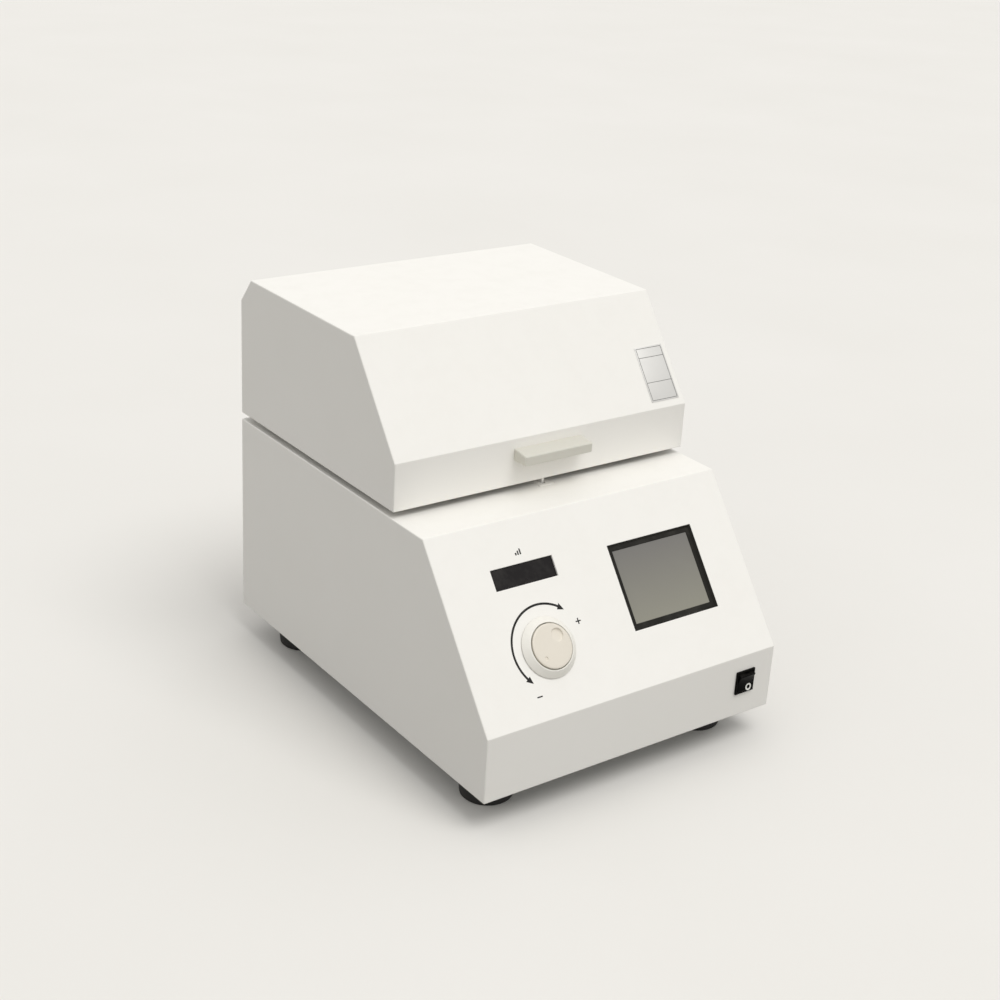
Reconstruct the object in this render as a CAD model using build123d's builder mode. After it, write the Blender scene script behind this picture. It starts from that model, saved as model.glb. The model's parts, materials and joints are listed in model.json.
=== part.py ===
from build123d import *

import os
from math import cos, radians, sin

# A bench-top cryogenic mill: a white sheet-steel base with a sloping control panel, and a deep lid
# hinged at the back. Under the lid a steel bowl holds a rack of milling containers. A motor in the
# base turns a tilted journal, so the rack nods round without turning.
# Millimetres. X runs across the front, Y from front to back, Z up. The origin is on the bench,
# under the middle of the instrument.

os.makedirs("parts", exist_ok=True)

# Casing and lid, measured on the outside
casing_width = 260.0
casing_depth = 340.0
casing_height = 160.0
front_band_height = 49.6
panel_run = 84.9
lid_gap = 5.0
lid_nose = 8.2
lid_height = 109.5
lid_band_height = 35.5
lid_slope_run = 55.6
lid_chamfer_run = 15.7
lid_chamfer_drop = 19.2
sheet = 1.5
fold_radius = 0.9
flange_width = 12.0

# Clearances that many pieces share
seat_clearance = 0.3
panel_clearance = 0.2
running_clearance = 0.05

# Feet, bottom plate and screws
foot_height = 25.0
foot_top_radius = 21.0
foot_base_radius = 19.0
foot_side_inset = 33.0
foot_end_inset = 42.0
foot_recess_radius = 6.0
foot_recess_depth = 9.0
bottom_recess = 1.0
bottom_thickness = 2.0
screw_radius = 2.0
screw_head_radius = 3.6
screw_head_height = 1.8
screw_bite = 4.0
bottom_screw_pitch = 80.0
back_screw_low = 18.0
back_screw_high = 120.0
vent_length = 28.0
vent_width = 4.0
vent_pitch = 10.0
vent_count = 7

# Chamber, its deck and the seal under the lid
chamber_inset = 107.0
bowl_radius = 78.0
bowl_corner_radius = 12.0
bowl_sheet = 1.5
bowl_rim_width = 8.0
bowl_hole_clearance = 1.0
deck_half_x = 108.0
deck_half_y = 88.0
deck_thickness = 1.5
deck_corner_radius = 8.0
deck_screw_inset = 9.0
gasket_width = 7.0
wall_insulation = 12.0
floor_insulation = 7.0

# Lid liner and its foam
liner_sheet = 1.2
liner_rim_recess = 1.0
liner_front_inset = 25.0
liner_rear_inset = 20.0
liner_side_inset = 26.0
liner_slope_inset = 16.0
liner_top_inset = 16.0
lid_foam = 9.0

# Hinges at the back
hinge_x = 80.0
hinge_width = 50.0
hinge_leaf_height = 24.0
hinge_leaf = 2.0
hinge_barrel_radius = 4.5
hinge_pin_radius = 2.5
hinge_knuckle = 15.0
hinge_clearance = 0.5
hinge_screw_spacing = 30.0

# Handle: a solid bar on the lid's front band
handle_length = 60.0
handle_depth = 14.0
handle_height = 9.0
handle_rise = 19.5
handle_edge = 0.8
handle_screw_spacing = 40.0
handle_screw_depth = 8.0

# Control panel: places are across the slope, and up it from the fold above the front band
touch_x = 52.25
touch_s = 71.8
touch_width = 78.5
touch_height = 63.6
touch_view_width = 69.5
touch_view_height = 54.0
touch_recess = 2.2
touch_lip = 2.5
touch_flange = 4.0
touch_flange_thickness = 2.0
touch_glass_thickness = 1.8
board_thickness = 1.6
touch_connector_length = 54.0
touch_connector_width = 27.0
touch_connector_depth = 6.0
display_x = -60.9
display_s = 100.0
display_width = 52.6
display_height = 15.0
display_recess = 0.4
display_flange = 3.0
display_flange_thickness = 1.5
display_module_depth = 7.0
knob_x = -61.4
knob_s = 46.8
knob_base_radius = 21.7
knob_rim_radius = 17.2
knob_height = 4.2
knob_lift = 0.6
cap_radius = 15.9
cap_groove = 0.6
cap_depth = 1.6
cap_edge = 0.5
cap_dimple_radius = 5.5
cap_dimple_offset = 9.0
cap_dimple_depth = 0.9
cap_dimple_angle = 42.0
encoder_shaft_radius = 3.0
encoder_bushing_radius = 4.5
encoder_nut_radius = 7.0
encoder_nut_height = 1.6
encoder_thread = 0.4
encoder_body_width = 16.0
encoder_body_depth = 11.0
encoder_shaft_depth = 8.0

# Rocker switch in the front band
switch_inset = 27.5
switch_rise = 28.0
switch_bezel_width = 17.6
switch_bezel_height = 18.4
switch_bezel = 1.5
switch_body_width = 16.4
switch_body_height = 17.2
switch_body_depth = 20.0
switch_window_width = 14.9
switch_window_height = 16.4
switch_window_depth = 7.0
rocker_height = 14.4
rocker_half_swing = 9.0
rocker_pivot_depth = 1.5
rocker_pin_radius = 1.2
rocker_tip = 4.4
rocker_crest = 3.3
rocker_back = 3.0

# Motor, spindle and the nodding rack
damper_radius = 9.0
damper_height = 12.0
damper_spacing = 120.0
mount_plate_size = 150.0
mount_plate_thickness = 5.0
motor_radius = 55.0
motor_height = 42.0
motor_end = 4.0
stator_bore_radius = 34.0
rotor_clearance = 1.0
spindle_radius = 10.0
spindle_passage = 2.0
motor_air_gap = 2.5
bearing_wall = 6.0
bearing_width = 8.0
housing_wall = 6.0
housing_rise = 8.0
housing_seal_width = 5.0
housing_seal_height = 3.0
spindle_head_radius = 15.0
spindle_head_height = 15.0
counterweight_radius = 36.0
counterweight_height = 9.0
tilt = 6.0
pivot_rise = 46.0
journal_shoulder = 2.0
journal_embed = 4.0
hub_wall = 5.0
hub_half_height = 18.0
hub_cap = 4.0
rack_radius = 62.0
rack_plate = 8.0
guide_plate = 5.0
container_count = 3
container_radius = 17.0
container_circle_radius = 41.0
container_pocket = 4.0
container_height = 66.0
container_wall = 4.5
container_neck_height = 10.0
container_neck_radius = 14.5
container_cap_radius = 17.6
container_cap = 4.0
ball_radius = 6.0
stud_radius = 5.0
stud_length = 20.0
clamp_plate = 5.0
clamp_knob_radius = 15.0
clamp_knob_height = 21.0
clamp_lobe_count = 6
clamp_lobe_radius = 5.0
clamp_edge = 1.5
magnet_radius = 6.0
magnet_height = 9.0
rack_magnet_height = 4.0
magnet_circle_radius = 52.0

# Lid lock, in front of the bowl's foam, with the lid's nose in front of it
lock_gap = 3.2
striker_thickness = 2.0
striker_width = 10.0
striker_drop = 26.0
striker_foot = 6.0
striker_window_radius = 3.4
striker_slot = 2.0
plunger_radius = 2.5
plunger_gap = 2.0
plunger_length = 24.0
solenoid_length = 34.0
solenoid_height = 20.0
solenoid_width = 17.0

# Electronics in the front of the base
supply_length = 84.0
supply_width = 52.0
supply_height = 32.0
supply_gap = 5.0
supply_setback = 16.0
terminal_height = 8.0
terminal_width = 8.0
terminal_end = 4.0
board_length = 90.0
board_width = 52.0
board_gap = 6.0
board_setback = 36.0
standoff_radius = 3.0
standoff_height = 6.0
standoff_inset = 5.0
component_length = 13.0
component_width = 9.0
component_height = 8.0
component_pitch = 25.0
component_row_pitch = 18.0

# Fan and mains inlet in the back panel
fan_size = 60.0
fan_depth = 20.0
fan_gap = 1.5
fan_rise = 50.0
fan_bore_radius = 28.0
fan_hub_radius = 12.0
fan_spider = 4.0
fan_strut_width = 4.0
fan_strut_count = 3
fan_screw_spacing = 50.0
fan_axle_radius = 1.5
blade_count = 7
blade_chord = 11.0
blade_thickness = 1.6
blade_pitch = 40.0
blade_tip_clearance = 1.5
guard_wire = 1.6
guard_ring_pitch = 7.0
guard_ring_count = 4
inlet_gap = 6.5
inlet_rise = 46.0
inlet_flange_width = 50.0
inlet_flange_height = 48.0
inlet_flange = 2.5
inlet_screw_spacing = 41.0
inlet_body_width = 32.0
inlet_body_height = 42.0
inlet_body_depth = 26.0
socket_width = 25.0
socket_height = 17.0
socket_depth = 20.0
socket_offset = 8.0
contact_length = 14.0
contact_thickness = 2.0
contact_height = 4.0
contact_spacing = 7.0
contact_stagger = 2.0
fuse_width = 24.0
fuse_height = 8.0
fuse_depth = 18.0
fuse_offset = -14.0
fuse_lip = 1.5
fuse_lip_overlap = 1.5

# Levels and lines that follow from the sizes above
casing_floor = foot_height - bottom_recess
casing_top = casing_floor + casing_height
lid_floor = casing_top + lid_gap
lid_top = lid_floor + lid_height
half_width = casing_width / 2
inner_half_width = half_width - sheet
flange_x = inner_half_width - flange_width / 2
foot_x = half_width - foot_side_inset
supply_x = supply_gap + supply_length / 2 - foot_x
terminal_x = supply_x + supply_length / 2
board_x = terminal_x + terminal_width / 2 + board_gap + board_length / 2
fan_x = fan_gap + fan_size / 2 + flange_width - inner_half_width
inlet_x = inner_half_width - flange_width - inlet_gap - inlet_flange_width / 2
swing = radians(rocker_half_swing)
front_proud = rocker_tip * cos(swing) + rocker_height / 2 * sin(swing) - rocker_pivot_depth
hinge_standoff = hinge_barrel_radius + hinge_clearance
rear_proud = hinge_standoff + hinge_barrel_radius
front = front_proud - (front_proud + casing_depth + rear_proud) / 2
rear = front + casing_depth
middle_y = (front + rear) / 2
chamber_y = rear - chamber_inset
plate_top = foot_height + bottom_thickness
deck_top = casing_top + deck_thickness
rim_level = lid_floor + liner_rim_recess
mount_plate_top = plate_top + damper_height + mount_plate_thickness
motor_top = mount_plate_top + motor_height
bowl_underside = motor_top + motor_air_gap + floor_insulation
bowl_floor = bowl_underside + bowl_sheet
bowl_outer_radius = bowl_radius + bowl_sheet
foam_inner = bowl_outer_radius + seat_clearance
foam_outer = foam_inner + wall_insulation
lock_distance = foam_outer + lock_gap + solenoid_width / 2
lock_y = chamber_y - lock_distance
lid_front = lock_y - lid_nose
bearing_radius = spindle_radius + running_clearance + bearing_wall
housing_radius = bearing_radius + housing_wall
housing_top = bowl_floor + housing_rise
head_floor = housing_top + hinge_clearance
pivot_level = bowl_floor + pivot_rise
journal_root = pivot_level - head_floor - spindle_head_height + journal_embed
lock_level = casing_top - sheet - solenoid_height / 2

# Levels in the rack's own tilted frame, from the point where its axis crosses the spindle's
hub_radius = bearing_radius + hub_wall
container_foot = rack_plate - hub_half_height - container_pocket
container_shoulder = container_foot + container_height
container_lip = container_shoulder + container_neck_height
clamp_plate_floor = container_lip + container_cap + seat_clearance
clamp_knob_floor = clamp_plate_floor + clamp_plate + seat_clearance
stud_top = clamp_plate_floor + stud_length

# Side outlines and the frames that parts are drawn in
base_outline = [
    (front, casing_floor),
    (rear, casing_floor),
    (rear, casing_top),
    (front + panel_run, casing_top),
    (front, casing_floor + front_band_height),
]
lid_outline = [
    (lid_front, lid_floor),
    (rear, lid_floor),
    (rear, lid_top - lid_chamfer_drop),
    (rear - lid_chamfer_run, lid_top),
    (lid_front + lid_slope_run, lid_top),
    (lid_front, lid_floor + lid_band_height),
]
panel_rise = casing_height - front_band_height
panel_length = (panel_run**2 + panel_rise**2) ** 0.5
panel_plane = Plane(
    origin=(0, front, casing_floor + front_band_height),
    x_dir=(1, 0, 0),
    z_dir=(0, -panel_rise / panel_length, panel_run / panel_length),
)
chamber_plane = Plane(origin=(0, chamber_y, 0), x_dir=(1, 0, 0), z_dir=(0, 0, 1))
tilt_x = sin(radians(tilt))
tilt_z = cos(radians(tilt))
rack_centre = (0, chamber_y, pivot_level)
rack_plane = Plane(origin=rack_centre, x_dir=(tilt_z, 0, -tilt_x), z_dir=(tilt_x, 0, tilt_z))
switch_x = half_width - switch_inset
switch_plane = Plane(origin=(switch_x, front, casing_floor + switch_rise), x_dir=(1, 0, 0), z_dir=(0, -1, 0))
back_plane = Plane(origin=(0, rear, casing_floor), x_dir=(-1, 0, 0), z_dir=(0, 1, 0))
fan_plane = Plane(
    origin=(fan_x, rear - sheet - fan_depth, casing_floor + fan_rise), x_dir=(-1, 0, 0), z_dir=(0, 1, 0)
)
guard_plane = Plane(origin=(fan_x, rear, casing_floor + fan_rise), x_dir=(-1, 0, 0), z_dir=(0, 1, 0))
inlet_plane = Plane(origin=(inlet_x, rear, casing_floor + inlet_rise), x_dir=(-1, 0, 0), z_dir=(0, 1, 0))

# Places that holes and screws share
foot_spots = [
    (side * foot_x, y)
    for side in (-1, 1)
    for y in (front + foot_end_inset, rear - foot_end_inset)
]
bottom_screw_spots = [
    (side * flange_x, middle_y + step * bottom_screw_pitch)
    for side in (-1, 1)
    for step in (-1, 0, 1)
]
deck_screw_spots = [
    (x * (deck_half_x - deck_screw_inset), y * (deck_half_y - deck_screw_inset))
    for x in (-1, 1)
    for y in (-1, 0, 1)
]
back_screw_spots = [
    (side * flange_x, height)
    for side in (-1, 1)
    for height in (back_screw_low, (back_screw_low + back_screw_high) / 2, back_screw_high)
]
hinge_leaf_inner = hinge_barrel_radius + hinge_clearance
hinge_screw_drop = (hinge_leaf_inner + hinge_leaf_height) / 2
hinge_level = casing_top + lid_gap / 2
hinge_screw_x = [
    side * hinge_x + step * hinge_screw_spacing / 2 for side in (-1, 1) for step in (-1, 1)
]

above = (Align.CENTER, Align.CENTER, Align.MIN)
below = (Align.CENTER, Align.CENTER, Align.MAX)


def inset_outline(corners, insets):
    """Corners of a convex outline after each edge moves inwards by its own inset."""
    lines = []
    for (y0, z0), (y1, z1), inset in zip(corners, corners[1:] + corners[:1], insets):
        length = ((y1 - y0) ** 2 + (z1 - z0) ** 2) ** 0.5
        along = ((y1 - y0) / length, (z1 - z0) / length)
        lines.append(((y0 - along[1] * inset, z0 + along[0] * inset), along))
    moved = []
    for (p, d), (q, e) in zip(lines[-1:] + lines[:-1], lines):
        step = ((q[0] - p[0]) * e[1] - (q[1] - p[1]) * e[0]) / (d[0] * e[1] - d[1] * e[0])
        moved.append((p[0] + d[0] * step, p[1] + d[1] * step))
    return moved


def underside(level):
    """A plane that faces down at a level, with X kept and Y turned over."""
    return Plane(origin=(0, 0, level), x_dir=(1, 0, 0), z_dir=(0, 0, -1))


def turned_over(spots):
    """Places for a plane that faces down."""
    return [(x, -y) for x, y in spots]


def outline_face(corners, plane=Plane.YZ):
    """A flat face with straight edges, drawn on a plane."""
    with BuildSketch(plane) as drawn:
        with BuildLine():
            Polyline(*corners, close=True)
        make_face()
    return drawn.sketch


def add_ring(plane, outer, inner, floor, height):
    """A ring round a plane's axis, standing on its own floor level."""
    with BuildSketch(plane.offset(floor)) as ring:
        Circle(outer)
        Circle(inner, mode=Mode.SUBTRACT)
    extrude(ring.sketch, amount=height)


def add_screws(plane, spots, shank):
    """Pan-head screws: each head stands on a plane, and its shank runs below it."""
    with BuildSketch(plane) as heads:
        with Locations(*spots):
            Circle(screw_head_radius)
    extrude(heads.sketch, amount=screw_head_height)
    with BuildSketch(plane) as shanks:
        with Locations(*spots):
            Circle(screw_radius)
    extrude(shanks.sketch, amount=-shank)


def save(part, name):
    """Labels a finished piece and writes it as a STEP file."""
    part.label = name
    export_step(part, f"parts/{name}.step")


# Base shell: folded sheet with the front band, the panel, the top, both sides and screw flanges
with BuildPart() as base_shell:
    extrude(outline_face(base_outline), amount=half_width, both=True)
    fillet(base_shell.edges(), radius=fold_radius)
    open_end = -fold_radius
    hollow = inset_outline(base_outline, [open_end, open_end, sheet, sheet, sheet])
    extrude(outline_face(hollow), amount=inner_half_width, both=True, mode=Mode.SUBTRACT)
    for side in (-1, 1):
        with BuildSketch(Plane.XY.offset(plate_top)):
            with Locations((side * flange_x, middle_y)):
                Rectangle(flange_width, casing_depth - 4 * sheet)
        extrude(amount=sheet)
        with BuildSketch(back_plane.offset(-2 * sheet)):
            with Locations((side * flange_x, (casing_height + bottom_thickness) / 2)):
                Rectangle(flange_width, casing_height - bottom_thickness - 2 * sheet)
        extrude(amount=sheet)
    with BuildSketch(panel_plane):
        with Locations((touch_x, touch_s)):
            Rectangle(touch_width, touch_height)
        with Locations((display_x, display_s)):
            Rectangle(display_width, display_height)
        with Locations((knob_x, knob_s)):
            Circle(encoder_bushing_radius + panel_clearance)
    extrude(amount=2 * sheet, both=True, mode=Mode.SUBTRACT)
    with BuildSketch(switch_plane):
        Rectangle(switch_body_width + 2 * panel_clearance, switch_body_height + 2 * panel_clearance)
    extrude(amount=2 * sheet, both=True, mode=Mode.SUBTRACT)
    with BuildSketch(chamber_plane.offset(casing_top)):
        Circle(bowl_outer_radius + seat_clearance)
        with Locations((0, -lock_distance)):
            Rectangle(striker_thickness + 2 * striker_slot, striker_width + 2 * striker_slot)
        with Locations(*deck_screw_spots):
            Circle(screw_radius)
    extrude(amount=2 * sheet, both=True, mode=Mode.SUBTRACT)
    with BuildSketch(Plane.XY.offset(plate_top)):
        with Locations(*bottom_screw_spots):
            Circle(screw_radius)
    extrude(amount=sheet, mode=Mode.SUBTRACT)
    with BuildSketch(back_plane):
        with Locations(*back_screw_spots):
            Circle(screw_radius)
    extrude(amount=-2 * sheet, mode=Mode.SUBTRACT)
save(base_shell.part, "base_shell")

# Bottom plate with its vents, and the studs that carry the control board
board_y = front + board_setback + board_width / 2
board_corners = [
    (board_x + x * (board_length / 2 - standoff_inset), board_y + y * (board_width / 2 - standoff_inset))
    for x in (-1, 1)
    for y in (-1, 1)
]
with BuildPart() as bottom_plate:
    with BuildSketch(Plane.XY.offset(foot_height)):
        with Locations((0, middle_y)):
            Rectangle(2 * inner_half_width, casing_depth - 2 * sheet)
        with Locations(*foot_spots, *bottom_screw_spots):
            Circle(screw_radius, mode=Mode.SUBTRACT)
        with Locations((0, front + foot_end_inset)):
            with GridLocations(vent_pitch, vent_pitch, vent_count, 1):
                SlotOverall(vent_length, vent_width, rotation=90, mode=Mode.SUBTRACT)
    extrude(amount=bottom_thickness)
    with BuildSketch(Plane.XY.offset(plate_top)):
        with Locations(*board_corners):
            Circle(standoff_radius)
    extrude(amount=standoff_height)
save(bottom_plate.part, "bottom_plate")

# Rubber feet, each held by a screw in a recess
with BuildPart() as foot_pads:
    with Locations(*foot_spots):
        Cone(foot_base_radius, foot_top_radius, foot_height, align=above)
        Cylinder(foot_recess_radius, foot_recess_depth, align=above, mode=Mode.SUBTRACT)
        Cylinder(screw_radius, foot_height, align=above, mode=Mode.SUBTRACT)
save(foot_pads.part, "foot_pads")

with BuildPart() as foot_screws:
    foot_shank = foot_height - foot_recess_depth + bottom_thickness + screw_bite
    add_screws(underside(foot_recess_depth), turned_over(foot_spots), foot_shank)
save(foot_screws.part, "foot_screws")

with BuildPart() as bottom_screws:
    bottom_shank = bottom_thickness + sheet + screw_bite
    add_screws(underside(foot_height), turned_over(bottom_screw_spots), bottom_shank)
save(bottom_screws.part, "bottom_screws")

# Back panel, set between the sides, with the fan's hole, the inlet's cut-out and screw holes
fan_spots = [
    (-fan_x + x * fan_screw_spacing / 2, fan_rise + y * fan_screw_spacing / 2)
    for x in (-1, 1)
    for y in (-1, 1)
]
inlet_spots = [(-inlet_x + side * inlet_screw_spacing / 2, inlet_rise) for side in (-1, 1)]
hinge_screw_spots = [(x, hinge_level - casing_floor - hinge_screw_drop) for x in hinge_screw_x]
with BuildPart() as back_panel:
    with BuildSketch(back_plane):
        with Locations((0, (casing_height - sheet) / 2)):
            Rectangle(2 * inner_half_width, casing_height - sheet)
        with Locations((-fan_x, fan_rise)):
            Circle(fan_bore_radius, mode=Mode.SUBTRACT)
        with Locations((-inlet_x, inlet_rise)):
            Rectangle(
                inlet_body_width + 2 * panel_clearance,
                inlet_body_height + 2 * panel_clearance,
                mode=Mode.SUBTRACT,
            )
        with Locations(*back_screw_spots, *fan_spots, *inlet_spots, *hinge_screw_spots):
            Circle(screw_radius, mode=Mode.SUBTRACT)
    extrude(amount=-sheet)
save(back_panel.part, "back_panel")

# Screws in the back: the panel's own, the fan's with its guard, the inlet's and the hinges'
with BuildPart() as back_screws:
    add_screws(back_plane, back_screw_spots, 2 * sheet + screw_bite)
    add_screws(back_plane.offset(guard_wire), fan_spots, guard_wire + sheet + fan_depth / 2)
    add_screws(back_plane.offset(inlet_flange), inlet_spots, inlet_flange + sheet + screw_bite)
    add_screws(back_plane.offset(hinge_leaf), hinge_screw_spots, hinge_leaf + sheet + screw_bite)
save(back_screws.part, "back_screws")

# Stainless deck around the chamber
with BuildPart() as deck_plate:
    with BuildSketch(chamber_plane.offset(casing_top)):
        RectangleRounded(2 * deck_half_x, 2 * deck_half_y, deck_corner_radius)
        Circle(bowl_outer_radius + seat_clearance, mode=Mode.SUBTRACT)
        with Locations(*deck_screw_spots):
            Circle(screw_radius, mode=Mode.SUBTRACT)
    extrude(amount=deck_thickness)
save(deck_plate.part, "deck_plate")

with BuildPart() as deck_screws:
    deck_shank = deck_thickness + sheet + screw_bite
    add_screws(chamber_plane.offset(deck_top), deck_screw_spots, deck_shank)
save(deck_screws.part, "deck_screws")

# Rubber seal in a frame round the deck, just under the closed lid's rim
with BuildPart() as deck_gasket:
    inner_x = deck_half_x + seat_clearance
    inner_y = deck_half_y + seat_clearance
    with BuildSketch(chamber_plane.offset(casing_top)):
        RectangleRounded(
            2 * (inner_x + gasket_width), 2 * (inner_y + gasket_width), deck_corner_radius + gasket_width
        )
        RectangleRounded(2 * inner_x, 2 * inner_y, deck_corner_radius, mode=Mode.SUBTRACT)
    extrude(amount=rim_level - seat_clearance - casing_top)
save(deck_gasket.part, "deck_gasket")

# Chamber bowl: a deep-drawn cup hanging from its rim on the deck, with a hole for the spindle
with BuildPart(chamber_plane) as chamber_bowl:
    with Locations((0, 0, bowl_underside)):
        Cylinder(bowl_outer_radius, deck_top + bowl_sheet - bowl_underside, align=above)
    fillet(chamber_bowl.edges().group_by(Axis.Z)[0], radius=bowl_corner_radius)
    offset(amount=-bowl_sheet, openings=chamber_bowl.faces().sort_by(Axis.Z)[-1])
    add_ring(chamber_plane, bowl_outer_radius + bowl_rim_width, bowl_radius, deck_top, bowl_sheet)
    with Locations((0, 0, bowl_underside - bowl_sheet)):
        Cylinder(housing_radius + bowl_hole_clearance, 3 * bowl_sheet, align=above, mode=Mode.SUBTRACT)
save(chamber_bowl.part, "chamber_bowl")

with BuildPart() as bowl_insulation:
    foam_floor = bowl_underside - floor_insulation
    foam_top = casing_top - sheet
    foam_hole = housing_radius + bowl_hole_clearance
    add_ring(chamber_plane, foam_outer, foam_inner, foam_floor, foam_top - foam_floor)
    add_ring(chamber_plane, foam_inner, foam_hole, foam_floor, floor_insulation)
save(bowl_insulation.part, "bowl_insulation")

# Motor on its plate, carried by rubber dampers
damper_spots = [
    (x * damper_spacing / 2, y * damper_spacing / 2) for x in (-1, 1) for y in (-1, 1)
]
with BuildPart() as vibration_dampers:
    with BuildSketch(chamber_plane.offset(plate_top)):
        with Locations(*damper_spots):
            Circle(damper_radius)
    extrude(amount=damper_height)
save(vibration_dampers.part, "vibration_dampers")

with BuildPart() as motor_mount_plate:
    with BuildSketch(chamber_plane.offset(plate_top + damper_height)):
        RectangleRounded(mount_plate_size, mount_plate_size, damper_radius)
    extrude(amount=mount_plate_thickness)
save(motor_mount_plate.part, "motor_mount_plate")

rotor_floor = mount_plate_top + motor_end + rotor_clearance
passage_radius = spindle_radius + spindle_passage
stator_height = motor_height - 2 * motor_end
with BuildPart() as motor_housing:
    add_ring(chamber_plane, motor_radius, passage_radius, mount_plate_top, motor_end)
    add_ring(chamber_plane, motor_radius, stator_bore_radius, mount_plate_top + motor_end, stator_height)
    add_ring(chamber_plane, motor_radius, passage_radius, motor_top - motor_end, motor_end)
save(motor_housing.part, "motor_housing")

rotor_height = stator_height - 2 * rotor_clearance
with BuildPart() as motor_rotor:
    rotor_radius = stator_bore_radius - rotor_clearance
    add_ring(chamber_plane, rotor_radius, spindle_radius, rotor_floor, rotor_height)
save(motor_rotor.part, "motor_rotor")

# Bearing housing through the chamber floor, with its bearings and floor seal
with BuildPart() as bearing_housing:
    add_ring(chamber_plane, housing_radius, passage_radius, motor_top, rotor_clearance)
    bearing_seat = motor_top + rotor_clearance
    add_ring(chamber_plane, housing_radius, bearing_radius, bearing_seat, housing_top - bearing_seat)
save(bearing_housing.part, "bearing_housing")

bearing_bore = spindle_radius + running_clearance
with BuildPart() as spindle_bearings:
    for bearing_floor in (bearing_seat, housing_top - bearing_width):
        add_ring(chamber_plane, bearing_radius, bearing_bore, bearing_floor, bearing_width)
save(spindle_bearings.part, "spindle_bearings")

with BuildPart() as floor_seal:
    seal_radius = housing_radius + housing_seal_width
    add_ring(chamber_plane, seal_radius, housing_radius, bowl_floor, housing_seal_height)
save(floor_seal.part, "floor_seal")

# Spindle: upright below, with a tilted journal above its head
with BuildPart() as drive_spindle:
    with BuildSketch(chamber_plane.offset(mount_plate_top + rotor_clearance)):
        Circle(spindle_radius)
    extrude(amount=head_floor - mount_plate_top - rotor_clearance)
    with BuildSketch(chamber_plane.offset(head_floor)):
        Circle(spindle_head_radius)
    extrude(amount=spindle_head_height)
    with BuildSketch(rack_plane.offset(-journal_root)):
        Circle(spindle_radius)
    extrude(amount=journal_root + hub_half_height - seat_clearance)
    with BuildSketch(rack_plane.offset(-journal_root)):
        Circle(spindle_radius + journal_shoulder)
    extrude(amount=journal_root - hub_half_height - seat_clearance)
save(drive_spindle.part, "drive_spindle")

with BuildPart() as counterweight:
    counterweight_floor = head_floor + rotor_clearance
    add_ring(
        chamber_plane,
        counterweight_radius,
        spindle_head_radius,
        counterweight_floor,
        counterweight_height,
    )
    split(bisect_by=Plane.YZ, keep=Keep.BOTTOM)
save(counterweight.part, "counterweight")

# Rack: hub, base plate with pockets, guide plate, and the stud for the clamp
pocket_radius = container_radius + panel_clearance
with BuildPart(rack_plane) as sample_rack:
    with Locations((0, 0, -hub_half_height)):
        Cylinder(hub_radius, 2 * hub_half_height + hub_cap, align=above)
        Cylinder(rack_radius, rack_plate, align=above)
    with Locations((0, 0, hub_half_height - guide_plate)):
        Cylinder(rack_radius, guide_plate, align=above)
    with Locations((0, 0, -hub_half_height)):
        Cylinder(bearing_radius, 2 * hub_half_height, align=above, mode=Mode.SUBTRACT)
    with PolarLocations(container_circle_radius, container_count):
        with Locations((0, 0, container_foot)):
            Cylinder(pocket_radius, container_height, align=above, mode=Mode.SUBTRACT)
    with PolarLocations(magnet_circle_radius, container_count, start_angle=180 / container_count):
        with Locations((0, 0, -hub_half_height)):
            Cylinder(magnet_radius, rack_magnet_height, align=above, mode=Mode.SUBTRACT)
    with Locations((0, 0, hub_half_height + hub_cap)):
        Cylinder(stud_radius, stud_top - hub_half_height - hub_cap, align=above)
save(sample_rack.part, "sample_rack")

with BuildPart() as rack_bearings:
    for bearing_floor in (-hub_half_height, hub_half_height - bearing_width):
        add_ring(rack_plane, bearing_radius, bearing_bore, bearing_floor, bearing_width)
save(rack_bearings.part, "rack_bearings")

# Magnets that keep the rack from turning with the journal
with BuildPart(rack_plane) as rack_magnets:
    with PolarLocations(magnet_circle_radius, container_count, start_angle=180 / container_count):
        with Locations((0, 0, -hub_half_height)):
            Cylinder(magnet_radius, rack_magnet_height, align=above)
save(rack_magnets.part, "rack_magnets")

with BuildPart(chamber_plane) as chamber_magnets:
    with PolarLocations(magnet_circle_radius, container_count, start_angle=180 / container_count):
        with Locations((0, 0, bowl_floor)):
            Cylinder(magnet_radius, magnet_height, align=above)
save(chamber_magnets.part, "chamber_magnets")

# Milling containers with screw caps, and the ball inside each
bore_radius = container_radius - container_wall
with BuildPart(rack_plane) as sample_containers:
    with PolarLocations(container_circle_radius, container_count):
        with Locations((0, 0, container_foot)):
            Cylinder(container_radius, container_height, align=above)
        with Locations((0, 0, container_shoulder)):
            Cylinder(container_neck_radius, container_neck_height, align=above)
        with Locations((0, 0, container_foot + container_wall)):
            Cylinder(bore_radius, container_height + container_neck_height, align=above, mode=Mode.SUBTRACT)
save(sample_containers.part, "sample_containers")

with BuildPart(rack_plane) as container_caps:
    with PolarLocations(container_circle_radius, container_count):
        with Locations((0, 0, container_shoulder)):
            Cylinder(container_cap_radius, container_neck_height + container_cap, align=above)
            Cylinder(
                container_neck_radius + running_clearance,
                container_neck_height,
                align=above,
                mode=Mode.SUBTRACT,
            )
save(container_caps.part, "container_caps")

with BuildPart(rack_plane) as grinding_balls:
    with PolarLocations(container_circle_radius, container_count):
        with Locations((0, 0, container_foot + container_wall + ball_radius)):
            Sphere(ball_radius)
save(grinding_balls.part, "grinding_balls")

# Clamp: a three-armed plate over the caps, and the knob that screws it down
with BuildPart() as clamp_arms:
    with BuildSketch(rack_plane.offset(clamp_plate_floor)):
        with PolarLocations(container_circle_radius, container_count):
            Circle(container_radius)
        make_hull()
        Circle(stud_radius + seat_clearance, mode=Mode.SUBTRACT)
    extrude(amount=clamp_plate)
save(clamp_arms.part, "clamp_arms")

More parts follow.
